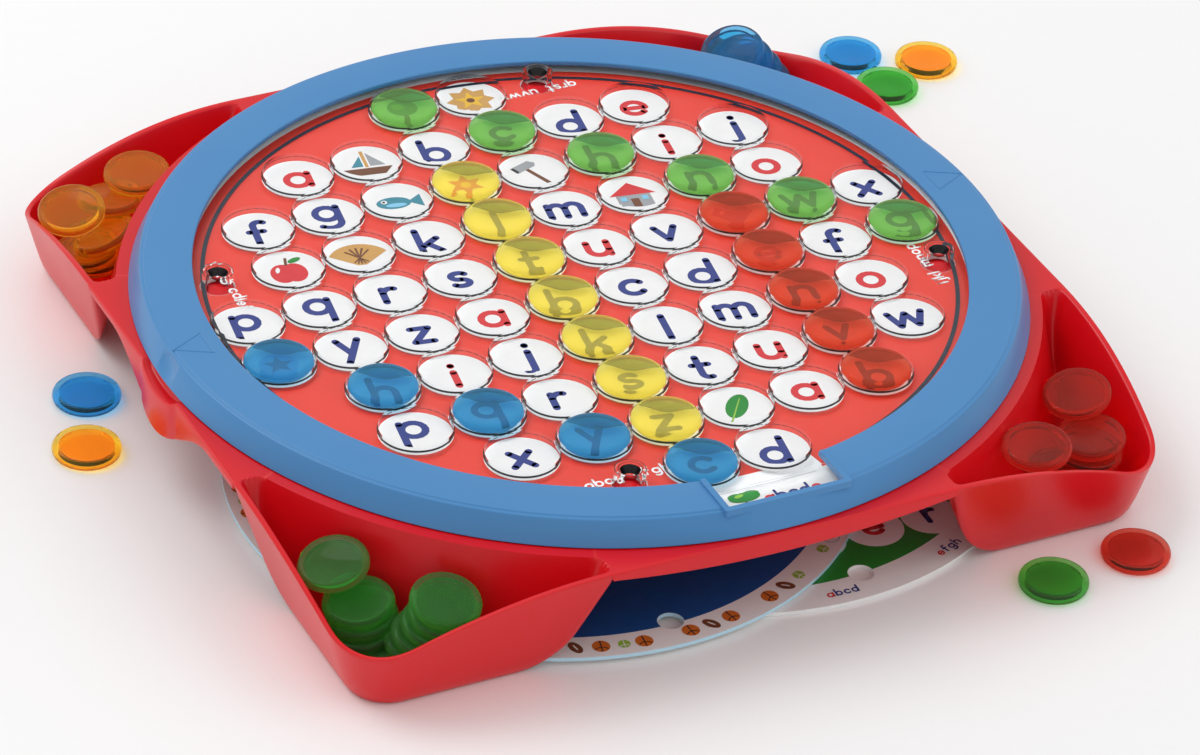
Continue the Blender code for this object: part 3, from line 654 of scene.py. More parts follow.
@dataclass
class Tray:
    """The moulded tray: a round deck in a square rim whose corners dip and open into pockets."""

    corner_radius: float = 0.0220
    wall: float = 0.0020
    corner_dip: float = RIM_HEIGHT * 0.437
    dip_start: float = TRAY_HALF * 1.393
    dip_power: float = 2.2
    skirt_depth: float = RIM_HEIGHT * 0.197
    skirt_end: float = RIM_HEIGHT * 0.075
    skirt_belly: float = TRAY_HALF * 0.397
    pocket_inner: float = RING_FOOT_RADIUS + 0.0036
    pocket_end: float = TRAY_HALF * 0.4045
    inner_rise: float = 4.1      # rise over run of the pocket's walls
    outer_rise: float = 3.65
    end_rise: float = 2.6
    fillet: float = 0.0070       # height over which two of the pocket's faces blend
    scoop_half_width: float = 0.0120
    scoop_depth: float = 0.0030
    scoop_flare: float = 0.0016
    lug_edge: float = 0.0026     # depth of the scooped sides' edge wall at its ends
    lug_depth: float = 0.0135    # added to it below the scoop
    lug_half_width: float = 0.0360
    scoop_inner: float = RING_FOOT_RADIUS - 0.0025
    lip_inner: float = CARD_RADIUS + 0.0010
    lip_width: float = 0.0010
    lip_height: float = 0.0016
    edge: float = 0.0006         # rounding of the moulded edges
    edge_room: float = 0.0013    # kept free of samples beside a rounded edge
    samples: int = 34            # points across the rim, above and below

    def side_distance(self, x: float, y: float) -> float:
        """Return how far a point in plan lies inside the rounded square of the rim."""
        a = abs(x) - (TRAY_HALF - self.corner_radius)
        b = abs(y) - (TRAY_HALF - self.corner_radius)
        return self.corner_radius - math.hypot(max(a, 0), max(b, 0)) - min(max(a, b), 0)

    def dip(self, x: float, y: float) -> float:
        """Return how far the rim has dipped at a point in plan."""
        corner = 2 * (TRAY_HALF - self.corner_radius * (1 - math.sqrt(0.5)))
        corner -= math.sqrt(2) * self.corner_dip / self.outer_rise
        share = (abs(x) + abs(y) - self.dip_start) / (corner - self.dip_start)
        return self.corner_dip * min(max(share, 0), 1) ** self.dip_power

    def blend_up(self, a: float, b: float) -> float:
        """Return the higher of two heights, with a fillet where they meet."""
        overlap = max(self.fillet - abs(a - b), 0)
        return max(a, b) + overlap * overlap / (4 * self.fillet)

    def pocket_height(self, x: float, y: float, shell: float) -> float:
        """Return the height of a pocket's surface.

        Args:
            x: Place in plan.
            y: Place in plan.
            shell: How far outside the pocket the wanted surface lies.

        Returns:
            The height above the table.
        """
        inner = RIM_HEIGHT - (math.hypot(x, y) - self.pocket_inner + shell) * self.inner_rise
        outer = RIM_HEIGHT - (self.side_distance(x, y) - self.wall + shell) * self.outer_rise
        end = RIM_HEIGHT - (min(abs(x), abs(y)) - self.pocket_end + shell) * self.end_rise
        return self.blend_up(self.blend_up(self.wall - shell, end), self.blend_up(inner, outer))

    def edge_radius(self, angle: float, inset: float) -> float:
        """Return the radius at which a ray in plan meets the wall edge, this far inside it."""
        low, high = TRAY_HALF - self.corner_radius, 2 * TRAY_HALF
        for _ in range(32):
            middle = (low + high) / 2
            x, y = middle * math.cos(angle), middle * math.sin(angle)
            if self.side_distance(x, y) - inset > self.dip(x, y) / self.outer_rise:
                low = middle
            else:
                high = middle
        return low

    def skirt(self, x: float, y: float) -> float:
        """Return the depth of the edge wall along a side."""
        belly = max(1 - (min(abs(x), abs(y)) / self.skirt_belly) ** 2, 0)
        return self.skirt_end + (self.skirt_depth - self.skirt_end) * belly

    def lug(self, along: float) -> float:
        """Return the depth of a scooped side's edge wall, at this distance from the scoop's middle."""
        share = min(abs(along) / self.lug_half_width, 1)
        return self.lug_edge + self.lug_depth * (1 + math.cos(math.pi * share)) / 2

    def row(self, start: float, end: float, height: Callable[[float, float], float]) -> Line:
        """Return samples across the rim, from the inside out, that keep clear of the edge.

        Args:
            start: Radius of the first sample.
            end: Radius of the edge.
            height: Gives the height at a radius and its share of the way.

        Returns:
            Radius and height of each sample.
        """
        reach = max(end - start - self.edge_room, (end - start) * 0.3)
        shares = [i / (self.samples - 1) for i in range(self.samples)]
        return [(start + reach * q, height(start + reach * q, reach * q / (end - start))) for q in shares]

    def section(self, angle: float) -> Line:
        """Return the closed outline of the tray's wall at one angle, from the deck edge round to it."""
        c, s = math.cos(angle), math.sin(angle)
        outer, inner = self.edge_radius(angle, 0), self.edge_radius(angle, self.wall)
        lip_outer, lip_top = self.lip_inner + self.lip_width, DECK_HEIGHT + self.lip_height
        deck, foot = self.lip_inner - 0.0003, lip_outer + 0.0003
        under = RIM_HEIGHT - self.wall
        if min(abs(outer * c), abs(outer * s)) > self.pocket_end:
            rim = RIM_HEIGHT - self.dip(outer * c, outer * s)
            up = self.row(self.pocket_inner, inner,
                          lambda r, _: min(self.pocket_height(r * c, r * s, 0), RIM_HEIGHT))
            down = self.row(self.pocket_inner - self.wall, outer,
                            lambda r, _: min(self.pocket_height(r * c, r * s, self.wall), under))
            last = down[-1]
            below = [(outer + (last[0] - outer) * q, rim + (last[1] - rim) * q, 0) for q in (0.4, 0.7)]
            tip = outer
        else:
            across = min(abs(outer * s) / self.scoop_half_width, 1)
            scoop = math.sqrt(1 - across * across) if abs(c) > abs(s) else 0
            fall = self.scoop_depth * scoop
            rim, tip = RIM_HEIGHT - fall, outer + self.scoop_flare * scoop
            low = rim - self.skirt(outer * c, outer * s)
            if abs(c) > abs(s):
                low = RIM_HEIGHT - self.lug(outer * s)
            up = self.row(self.scoop_inner, inner, lambda _, q: RIM_HEIGHT - fall * q ** 2)
            down = self.row(self.scoop_inner, tip - self.wall - SEAT_GAP, lambda _, q: under - fall * q ** 2)
            below = [(tip, low, self.edge), (tip - self.wall, low, self.edge)]
        start = [(deck, DECK_HEIGHT, 0), (self.lip_inner, lip_top, 0.0003), (lip_outer, lip_top, 0.0003),
                 (foot, RIM_HEIGHT, 0.0004)]
        edge = [(inner, rim, self.edge), (tip, rim, self.edge), *below]
        end = [(foot - self.wall, under, 0), (deck - self.wall, DECK_HEIGHT - self.wall, 0)]
        first, second = [(r, z, 0) for r, z in up], [(r, z, 0) for r, z in reversed(down)]
        corners = rounded([*start, first[0]], 3)[:16]
        corners += up + rounded([first[-1], *edge, second[0]], 3)[4:20] + [p[:2] for p in second]
        return corners + [p[:2] for p in end]

    def angles(self) -> list[float]:
        """Return the directions of the sections, closer together where the form bends."""
        found: list[float] = []
        degree = 0.0
        while degree < 360 - 1e-6:
            found.append(math.radians(degree))
            near = min(degree % 90, 90 - degree % 90)
            degree += 0.25 if 19.5 < near < 30 else 0.5
        return found

    def build(self) -> bpy.types.Object:
        """Build and dress the tray."""
        shape = Shape()
        rows = [[(r * math.cos(angle), r * math.sin(angle), z) for r, z in self.section(angle)]
                for angle in self.angles()]
        shape.grid(rows, True, False)
        shape.flat([row[0][:2] for row in rows], rows[0][0][2])
        shape.flat([row[-1][:2] for row in rows], rows[0][-1][2], faces_down=True)
        tray = shape.build("tray_moulding", [TRAY_RED.material()], 40.0, 0.000002)
        return dress(tray, "tray", "tray_red", ["tray"])


# The ring


@dataclass
class RingFrame:
    """The lift-off ring: a flat band with a sloping skirt, a framed window and two finger dents."""

    bore: float = RING_BORE_RADIUS
    top_radius: float = RING_TOP_RADIUS
    foot_radius: float = RING_FOOT_RADIUS
    wall: float = 0.0015
    edge: float = 0.0005
    top: float = PLATE_TOP + 0.0018
    bottom: float = RIM_HEIGHT + SEAT_GAP
    underside: float = PLATE_TOP + SEAT_GAP
    window_centre: float = 0.0018
    window_width: float = 0.0360
    window_outer: float = RING_TOP_RADIUS - 0.0016
    frame_width: float = 0.0018
    frame_rise: float = 0.0006
    dent_place: tuple[float, float] = (RING_TOP_RADIUS + 0.0031, 0.0387)
    dent_size: tuple[float, float, float] = (0.0024, 0.0068, 0.0046)
    arrow_base: float = 0.1180
    arrow_apex: float = 0.1283
    arrow_half: float = 0.00535
    arrow_middle: float = 0.0018
    segments: int = 288

    def profile(self) -> Line:
        """Return the ring's outline, which runs down its outer side."""
        drop = self.top - self.bottom
        slope = (self.foot_radius - self.top_radius) / drop
        inside_top = self.top_radius + slope * (self.top - self.underside) - self.wall
        step = 0.0012
        corners = [(self.bore, self.underside, 0.0002), (self.bore, self.top, self.edge),
                   (self.top_radius - step, self.top, 0.0003),
                   (self.top_radius - step + 0.0003, self.top - 0.0004, 0.0002),
                   (self.top_radius, self.top - 0.0004, 0.0006),
                   (self.foot_radius, self.bottom, 0.0003),
                   (self.foot_radius - self.wall, self.bottom, 0.0003),
                   (inside_top, self.underside, 0.0004)]
        return rounded(corners, 4)

    def block(self, low: Vector, high: Vector, rounding: float) -> bpy.types.Object:
        """Return a box between two corners with its upright edges rounded."""
        shape = Shape()
        x0, x1, y0, y1 = low.x, high.x, low.y, high.y
        outline = rounded([(x0, y0, rounding), (x1, y0, rounding), (x1, y1, rounding), (x0, y1, rounding)], 4)
        shape.flat(outline, high.z)
        shape.flat(outline, low.z, faces_down=True)
        shape.wall(outline, low.z, high.z)
        return shape.build("block", [], merge=0.000001)

    def arrow(self, side: int) -> bpy.types.Object:
        """Return the raised outline of a triangle that points at the finger dent."""
        half, middle = self.arrow_half, self.arrow_middle
        corners = [(side * self.arrow_base, middle - half), (side * self.arrow_base, middle + half),
                   (side * self.arrow_apex, middle)]
        line = [(a[0] + (b[0] - a[0]) * k / 12, a[1] + (b[1] - a[1]) * k / 12)
                for a, b in zip(corners, corners[1:] + corners[:1]) for k in range(12)]
        section = circle((0, 0), 0.00030, 8)
        shape = Shape()
        rows = []
        for i, here in enumerate(line):
            before, after = Vector(line[i - 1]), Vector(line[(i + 1) % len(line)])
            along = (after - before).normalized()
            rows.append([(here[0] - along.y * u, here[1] + along.x * u, self.top - 0.0001 + v)
                         for u, v in section])
        shape.grid(rows, True, True)
        name = "ring_arrow_" + ("right" if side > 0 else "left")
        return shape.build(name, [RING_BLUE.material()], merge=0.000001)

    def dent(self, side: int) -> bpy.types.Object:
        """Return the rounded body that a finger dent is pressed with."""
        shape = Shape()
        wide, long, high = self.dent_size
        out, up = self.dent_place
        slope = (self.foot_radius - self.top_radius) / (self.top - self.bottom)
        rows = [[(side * (out - slope * high * z) + wide * x * math.cos(t), long * x * math.sin(t),
                  up + high * z) for x, z in arc((0, 0), 1, 90, -90, 20)]
                for t in (FULL_TURN * i / 48 for i in range(48))]
        shape.grid(rows, True, False)
        return shape.build("dent", [], merge=0.000002)

    def build(self) -> list[bpy.types.Object]:
        """Build and dress the ring and its two arrows."""
        shape = Shape()
        shape.lathe(self.profile(), self.segments)
        ring = shape.build("ring_moulding", [RING_BLUE.material()], merge=0.000001)
        left = self.window_centre - self.window_width / 2
        right = self.window_centre + self.window_width / 2
        inner = -self.bore * math.cos(math.asin(right / self.bore))
        rim = self.window_outer + self.frame_width
        crest = self.top + self.frame_rise
        frame_block = self.block(Vector((left - self.frame_width, -rim, self.underside)),
                                 Vector((right + self.frame_width, inner - 0.0006, crest)), 0.0008)
        hole = self.block(Vector((left, -self.window_outer, self.underside - 0.004)),
                          Vector((right, inner + 0.004, crest + 0.004)), 0.0003)
        tools = [(frame_block, "UNION"), (hole, "DIFFERENCE")]
        for side in (-1, 1):
            tools.append((self.dent(side), "DIFFERENCE"))
        cut(ring, tools)
        soften(ring, 0.00025)
        dress(ring, "ring_frame", "ring_blue", ["ring_frame", "ring_skirt"])
        return [ring] + [dress(self.arrow(side), "ring_frame", "ring_blue") for side in (-1, 1)]


def soften(obj: bpy.types.Object, width: float) -> None:
    """Round the sharp edges that Booleans leave on a moulding."""
    bevel = obj.modifiers.new("moulded_edges", "BEVEL")
    bevel.width = width
    bevel.segments = 2
    bevel.limit_method = "ANGLE"
    bevel.angle_limit = math.radians(50)
    bevel.use_clamp_overlap = True


# The clear plate


@dataclass
class ClearPlate:
    """The clear plate over the letter disc: wells for the tokens and four hollow collars."""

    collar_bore: float = 0.0032
    collar_top: float = PLATE_TOP + 0.0027
    segments: int = 192
    crescent: tuple[float, float] = (0.00030, 0.00072)    # least width of the painted shade round a well, and more on the near side
    funnel_foot: float = 0.0020  # inner radius of the painted shade in the far half of a collar's bore
    edge_line: float = 0.00022   # width of the painted dark lines round a collar's top
    gap_turn: float = 0.046      # turn of the gaps in the far half of a well's painted shade, which stand for highlights
    dashes: int = 14

    def moulding(self) -> bpy.types.Object:
        """Build the plate, open at every well."""
        shape = Shape()
        wells = [circle(place, WELL_RADIUS, 48) for place in well_places().values()]
        holes = wells + [circle(place, COLLAR_RADIUS, 48) for place in collar_places()]
        outer = circle((0, 0), PLATE_RADIUS, self.segments)
        shape.flat(outer, PLATE_TOP, 0, holes)
        shape.flat(outer, PLATE_BOTTOM, 0, holes, faces_down=True)
        shape.wall(outer, PLATE_BOTTOM, PLATE_TOP)
        for well in wells:
            shape.wall(well, PLATE_BOTTOM, PLATE_TOP, True)
        top = rounded([(COLLAR_RADIUS, PLATE_TOP, 0), (COLLAR_RADIUS, self.collar_top, 0.0006),
                       (self.collar_bore, self.collar_top, 0.0005),
                       (self.collar_bore, CARD_BOTTOM, 0)], 5)[6:18]
        profile = [(COLLAR_RADIUS, PLATE_TOP), *top, (self.collar_bore, CARD_BOTTOM),
                   (COLLAR_RADIUS, CARD_BOTTOM), (COLLAR_RADIUS, PLATE_BOTTOM)]
        for x, y in collar_places():
            shape.lathe(profile, 48, (x, y, 0), False)
        plate = shape.build("clear_plate_moulding", [CLEAR.material()], merge=0.000001)
        nodes = ["clear_plate", "collar_front", "collar_right", "collar_back", "collar_left"]
        return dress(plate, "turntable", "clear_plate", nodes)

    def edge_part(self, shape: Shape, place: Point, start: float, end: float) -> None:
        """Add part of the painted shade round a well, from one angle to another."""
        steps = max(int((end - start) / 0.1), 2)
        near = math.atan2(-AWAY[1], -AWAY[0])
        points = []
        for i in range(steps + 1):
            turn = start + (end - start) * i / steps
            width = self.crescent[0] + self.crescent[1] * max(math.cos(turn - near), 0) ** 1.5
            points.append([(place[0] + r * math.cos(turn), place[1] + r * math.sin(turn))
                           for r in (WELL_RADIUS + 0.00002, WELL_RADIUS + 0.00002 + width)])
        outline = [p[0] for p in reversed(points)] + [p[1] for p in points]
        shape.flat(outline, (PLATE_BOTTOM + PLATE_TOP) / 2)

    def well_edges(self) -> bpy.types.Object:
        """Build the painted shade round the wells: near-black rings, thicker on the near side and broken on
        the far side, that stand for the dark their walls refract.
        """
        shape = Shape()
        near = math.atan2(-AWAY[1], -AWAY[0])
        quarter = FULL_TURN / 4
        for place in well_places().values():
            self.edge_part(shape, place, near - quarter, near + quarter)
            pitch = 2 * quarter / self.dashes
            for dash in range(self.dashes):
                start = near + quarter + pitch * dash + self.gap_turn
                self.edge_part(shape, place, start, start + pitch - self.gap_turn)
        edges = shape.build("clear_well_edges", [WELL_EDGE.material()], merge=0.000001)
        return dress(edges, "turntable", "clear_plate")

    def bores(self) -> bpy.types.Object:
        """Build the painted shade in each collar: a near-black sheet in the far half of its bore, and painted
        dark lines round its top.
        """
        shape = Shape()
        heading = math.degrees(math.atan2(AWAY[1], AWAY[0]))
        for x, y in collar_places():
            funnel = ((self.collar_bore - 0.0001, self.collar_top - 0.0006),
                      (self.funnel_foot, self.collar_top - 0.0030))
            rows = [[(x + r * u, y + r * v, z) for r, z in funnel]
                    for u, v in arc((0, 0), 1, heading - 80, heading + 80, 20)]
            shape.grid(rows, False, False)
            for radius in (COLLAR_RADIUS, self.collar_bore + 0.0003):
                rows = [[(x + r * u, y + r * v, self.collar_top - INK)
                         for r in (radius, radius - self.edge_line)] for u, v in circle((0, 0), 1, 40)]
                shape.grid(rows, True, False)
        made = shape.build("clear_collar_edges", [WELL_EDGE.material()], merge=0.000001)
        return dress(made, "turntable", "clear_plate")

    def build(self) -> list[bpy.types.Object]:
        """Build and dress the plate, and the painted shade round its wells and in its collars."""
        return [self.moulding(), self.well_edges(), self.bores()]


# The printed discs


def bowl(start: float, end: float, centre: Point = (0, 0.5), width: float = 0.4, height: float = 0.4) -> Line:
    """Return part of an oval stroke of a letter, from one angle in degrees to another."""
    return [(centre[0] + width * x, centre[1] + height * y) for x, y in arc((0, 0), 1, start, end, 16)]


GLYPHS: dict[str, list[Line]] = {
    "a": [bowl(0, 360), [(0.4, 0.9), (0.4, 0.1)]],
    "b": [bowl(0, 360), [(-0.4, 1.45), (-0.4, 0.1)]],
    "c": [bowl(42, 318)],
    "d": [bowl(0, 360), [(0.4, 1.45), (0.4, 0.1)]],
    "e": [bowl(0, 318), [(-0.4, 0.5), (0.4, 0.5)]],
    "f": [bowl(50, 180, (0.24, 1.2), 0.24, 0.25) + [(0, 0.1)], [(-0.2, 0.85), (0.3, 0.85)]],
    "g": [bowl(0, 360), [(0.4, 0.9), (0.4, 0.0)] + bowl(0, -140, (0, -0.05), 0.4, 0.35)],
    "h": [[(-0.36, 1.45), (-0.36, 0.1)], bowl(180, 0, (0, 0.54), 0.36, 0.36) + [(0.36, 0.1)]],
    "i": [[(0, 0.9), (0, 0.1)], [(0, 1.25), (0, 1.29)]],
    "j": [[(0.1, 0.9), (0.1, -0.1)] + bowl(0, -120, (-0.12, -0.12), 0.22, 0.23), [(0.1, 1.25), (0.1, 1.29)]],
    "k": [[(-0.34, 1.45), (-0.34, 0.1)], [(0.3, 0.9), (-0.3, 0.42)], [(-0.08, 0.6), (0.34, 0.1)]],
    "l": [[(0, 1.45), (0, 0.1)]],
    "m": [[(-0.58, 0.9), (-0.58, 0.1)], bowl(180, 0, (-0.29, 0.6), 0.29, 0.3) + [(0, 0.1)],
          bowl(180, 0, (0.29, 0.6), 0.29, 0.3) + [(0.58, 0.1)]],
    "n": [[(-0.36, 0.9), (-0.36, 0.1)], bowl(180, 0, (0, 0.54), 0.36, 0.36) + [(0.36, 0.1)]],
    "o": [bowl(0, 360)],
    "p": [bowl(0, 360), [(-0.4, 0.9), (-0.4, -0.42)]],
    "q": [bowl(0, 360), [(0.4, 0.9), (0.4, -0.42)]],
    "r": [[(-0.2, 0.9), (-0.2, 0.1)], bowl(180, 65, (0.1, 0.58), 0.3, 0.32)],
    "s": [bowl(35, 270, (0, 0.7), 0.27, 0.2), bowl(90, -145, (0, 0.3), 0.29, 0.2)],
    "t": [[(-0.05, 1.3), (-0.05, 0.35)] + bowl(180, 290, (0.17, 0.33), 0.22, 0.23),
          [(-0.28, 0.85), (0.28, 0.85)]],
    "u": [[(0.36, 0.9), (0.36, 0.1)], [(-0.36, 0.9)] + bowl(180, 360, (0, 0.46), 0.36, 0.36)],
    "v": [[(-0.36, 0.9), (0, 0.1)], [(0.36, 0.9), (0, 0.1)]],
    "w": [[(-0.6, 0.9), (-0.32, 0.1)], [(-0.32, 0.1), (0, 0.85)], [(0, 0.85), (0.32, 0.1)],
          [(0.32, 0.1), (0.6, 0.9)]],
    "x": [[(-0.34, 0.9), (0.34, 0.1)], [(-0.34, 0.1), (0.34, 0.9)]],
    "y": [[(-0.36, 0.9), (0.02, 0.1)], [(0.38, 0.9), (-0.18, -0.42)]],
    "z": [[(-0.32, 0.9), (0.3, 0.9)], [(0.3, 0.9), (-0.32, 0.1)], [(-0.32, 0.1), (0.34, 0.1)]],
}
LETTER_STROKE = 0.26         # of the height of an x
VOWELS = "aeiou"
LETTER_LEAN = math.radians(-9)


def glyph_span(letter: str) -> tuple[float, float, float, float]:
    """Return the least and greatest across and height of a letter's middle lines."""
    points = [p for line in GLYPHS[letter] for p in line]
    across, heights = [p[0] for p in points], [p[1] for p in points]
    return min(across), max(across), min(heights), max(heights)


class Print(Shape):
    """Flat inks laid over one another on a board."""

    def __init__(self, base: float) -> None:
        """Start a print whose lowest ink lies on this height."""
        super().__init__()
        self.base = base
        self.inks: list[Ink] = []

    def slot_of(self, ink: Ink) -> int:
        """Return the mesh slot of an ink."""
        if ink not in self.inks:
            self.inks.append(ink)
        return self.inks.index(ink)

    def patch(self, outline: Line, ink: Ink, layer: float, holes: Sequence[Line] = ()) -> None:
        """Print a filled outline, with or without holes, on a layer."""
        self.flat(outline, self.base + layer * INK, self.slot_of(ink), holes)

    def line(self, line: Line, width: float, ink: Ink, layer: float) -> None:
        """Print a line with round ends on a layer."""
        self.stroke(line, width, self.base + layer * INK, self.slot_of(ink))

    def letter(self, letter: str, place: Point, turn: float, size: float, ink: Ink, layer: float) -> None:
        """Print one letter.

        Args:
            letter: The letter.
            place: Where the middle of its baseline lies.
            turn: Its turn in radians.
            size: The height of an x.
            ink: Its ink.
            layer: Its layer; each further stroke lies a little higher.
        """
        for number, line in enumerate(GLYPHS[letter]):
            self.line(placed(line, place, turn, size), LETTER_STROKE * size, ink, layer + 0.1 * number)

    def word(self, letters: str, place: Point, turn: float, size: float, inks: Callable[[str], Ink],
             layer: float, gap: float = 0.26) -> None:
        """Print a run of letters about a place.

        Args:
            letters: The run; a blank is a gap of the width of an n.
            place: The middle of the run, on half the height of an x.
            turn: Its turn in radians.
            size: The height of an x.
            inks: Gives each letter its ink.
            layer: Its layer.
            gap: From letter to letter, in heights of an x.
        """
        spans = [(-0.36, 0.36) if c == " " else glyph_span(c)[:2] for c in letters]
        total = sum(high - low + LETTER_STROKE for low, high in spans) + gap * (len(letters) - 1)
        across = -total / 2
        for letter, (low, high) in zip(letters, spans):
            middle = across + LETTER_STROKE / 2 - low
            if letter != " ":
                start = placed([(middle * size, -size / 2)], place, turn)[0]
                self.letter(letter, start, turn, size, inks(letter), layer)
            across += high - low + LETTER_STROKE + gap

    def finish(self, name: str) -> bpy.types.Object:
        """Turn the print into an object."""
        return self.build(name, [ink.material() for ink in self.inks])


def letter_ink(letter: str) -> Ink:
    """Return the ink of a letter on the letter disc: scarlet vowels, navy consonants."""
    return Ink.SCARLET if letter in VOWELS else Ink.NAVY


def white(letter: str) -> Ink:
    """Return white, whatever the letter."""
    return Ink.WHITE


def notched(centre: Point, radius: float, holes: Sequence[Point], hole_radius: float) -> Line:
    """Return a circle whose outline goes round the inner side of holes that cross it.

    Args:
        centre: The circle's centre.
        radius: The circle's radius.
        holes: Centres of the holes, at one distance from the circle's centre.
        hole_radius: Radius of the holes.

    Returns:
        The closed outline.
    """
    places = sorted((math.degrees(math.atan2(y - centre[1], x - centre[0])), (x, y)) for x, y in holes)
    reach = math.dist(centre, holes[0])
    half = math.acos((radius ** 2 + reach ** 2 - hole_radius ** 2) / (2 * radius * reach))
    start = math.degrees(math.atan2(-radius * math.sin(half), radius * math.cos(half) - reach))
    half = math.degrees(half)
    outline: Line = []
    before = places[-1][0] - 360
    for heading, place in places:
        outline += arc(centre, radius, before + half, heading - half, 60)[:-1]
        outline += arc(place, hole_radius, heading + start, heading - 360 - start, 24)[:-1]
        before = heading
    return outline


def star(points: int, outer: float, inner: float) -> Line:
    """Return a star's outline with one point up."""
    turns = [math.pi / 2 + math.pi * i / points for i in range(2 * points)]
    return [(r * math.cos(t), r * math.sin(t)) for t, r in zip(turns, [outer, inner] * points)]


# Pictures of the picture wells: ink and outline in well radii, from the lowest layer up
PICTURES: dict[tuple[int, int], list[tuple[Ink, Line]]] = {
    (5, 0): [(Ink.TAN, star(8, 0.72, 0.5)), (Ink.GOLD, star(5, 0.46, 0.2)),
             (Ink.BROWN, circle((0, 0), 0.12))],
    (3, 1): [(Ink.TAN, [(-0.05, -0.1), (0.05, -0.1), (0.05, 0.75), (-0.05, 0.75)]),
             (Ink.GREY, [(0.1, -0.05), (0.55, -0.05), (0.1, 0.65)]),
             (Ink.TEAL, [(-0.1, -0.05), (-0.1, 0.5), (-0.45, -0.05)]),
             (Ink.BROWN, [(-0.45, -0.5), (0.45, -0.5), (0.72, -0.15), (-0.72, -0.15)])],
    (3, 2): [(Ink.TEAL, oval((-0.1, 0), 1.0, 0.6)), (Ink.TEAL, [(0.3, 0), (0.72, 0.32), (0.72, -0.32)]),
             (Ink.SKY, oval((-0.05, -0.12), 0.6, 0.2)), (Ink.WHITE, circle((-0.36, 0.08), 0.09)),
             (Ink.BLACK, circle((-0.37, 0.08), 0.045))],
    (5, 2): [(Ink.BROWN, placed([(-0.07, -0.75), (0.07, -0.75), (0.06, 0.3), (-0.06, 0.3)], (0, 0), 0.5)),
             (Ink.GREY, placed([(-0.36, 0.25), (0.3, 0.25), (0.42, 0.38), (0.3, 0.58), (-0.36, 0.58)],
                               (0, 0), 0.5)),
             (Ink.BLACK, placed([(-0.36, 0.28), (-0.26, 0.28), (-0.26, 0.55), (-0.36, 0.55)], (0, 0), 0.5))],
    (1, 3): [(Ink.SCARLET, oval((-0.16, -0.08), 0.72, 0.92)), (Ink.SCARLET, oval((0.16, -0.08), 0.72, 0.92)),
             (Ink.BROWN, [(-0.04, 0.3), (0.04, 0.3), (0.1, 0.66), (0.02, 0.68)]),
             (Ink.LEAF, oval((0.28, 0.52), 0.42, 0.2, 25)), (Ink.WHITE, oval((-0.28, 0.1), 0.12, 0.28, -15))],
    (2, 3): [(Ink.TAN, arc((0, -0.35), 0.95, 30, 150, 12) + [(-0.12, -0.45), (0.12, -0.45)]),
             *[(Ink.BROWN, placed([(-0.02, -0.3), (0.02, -0.3), (0.03, 0.5), (-0.03, 0.5)], (0, -0.1), t))
               for t in (-0.75, -0.37, 0.0, 0.37, 0.75)]],
    (6, 3): [(Ink.GREY, [(-0.5, -0.6), (0.5, -0.6), (0.5, 0.1), (-0.5, 0.1)]),
             (Ink.SCARLET, [(-0.68, 0.05), (0.68, 0.05), (0, 0.68)]),
             (Ink.BROWN, [(-0.12, -0.6), (0.12, -0.6), (0.12, -0.15), (-0.12, -0.15)]),
             (Ink.SKY, [(0.22, -0.25), (0.4, -0.25), (0.4, -0.05), (0.22, -0.05)]),
             (Ink.SKY, [(-0.4, -0.25), (-0.22, -0.25), (-0.22, -0.05), (-0.4, -0.05)])],
    (5, 8): [(Ink.LEAF, oval((0.05, 0.1), 0.6, 1.15, -28)),
             (Ink.LIME, placed([(-0.03, -0.75), (0.03, -0.75), (0.015, 0.5), (-0.015, 0.5)], (0, 0), -0.48))],
    (4, 0): [(Ink.BROWN, [(-0.09, -0.7), (0.09, -0.7), (0.07, 0), (-0.07, 0)]),
             (Ink.LEAF, circle((0, 0.2), 0.45)), (Ink.LIME, circle((-0.1, 0.3), 0.18))],
    (4, 2): [(Ink.LEAF, [(-0.04, -0.75), (0.04, -0.75), (0.03, 0), (-0.03, 0)]),
             (Ink.SCARLET, star(6, 0.55, 0.3)), (Ink.GOLD, circle((0, 0), 0.16))],
    (7, 4): [(Ink.SCARLET, [(0, -0.6), (0.62, 0.15), (0.4, 0.5), (0, 0.25), (-0.4, 0.5), (-0.62, 0.15)]),
             (Ink.WHITE, oval((-0.3, 0.2), 0.14, 0.24, -30))],
    (0, 5): [(Ink.SKY, circle((0, 0), 0.55)), (Ink.DEEP_BLUE, star(5, 0.45, 0.2))],
}


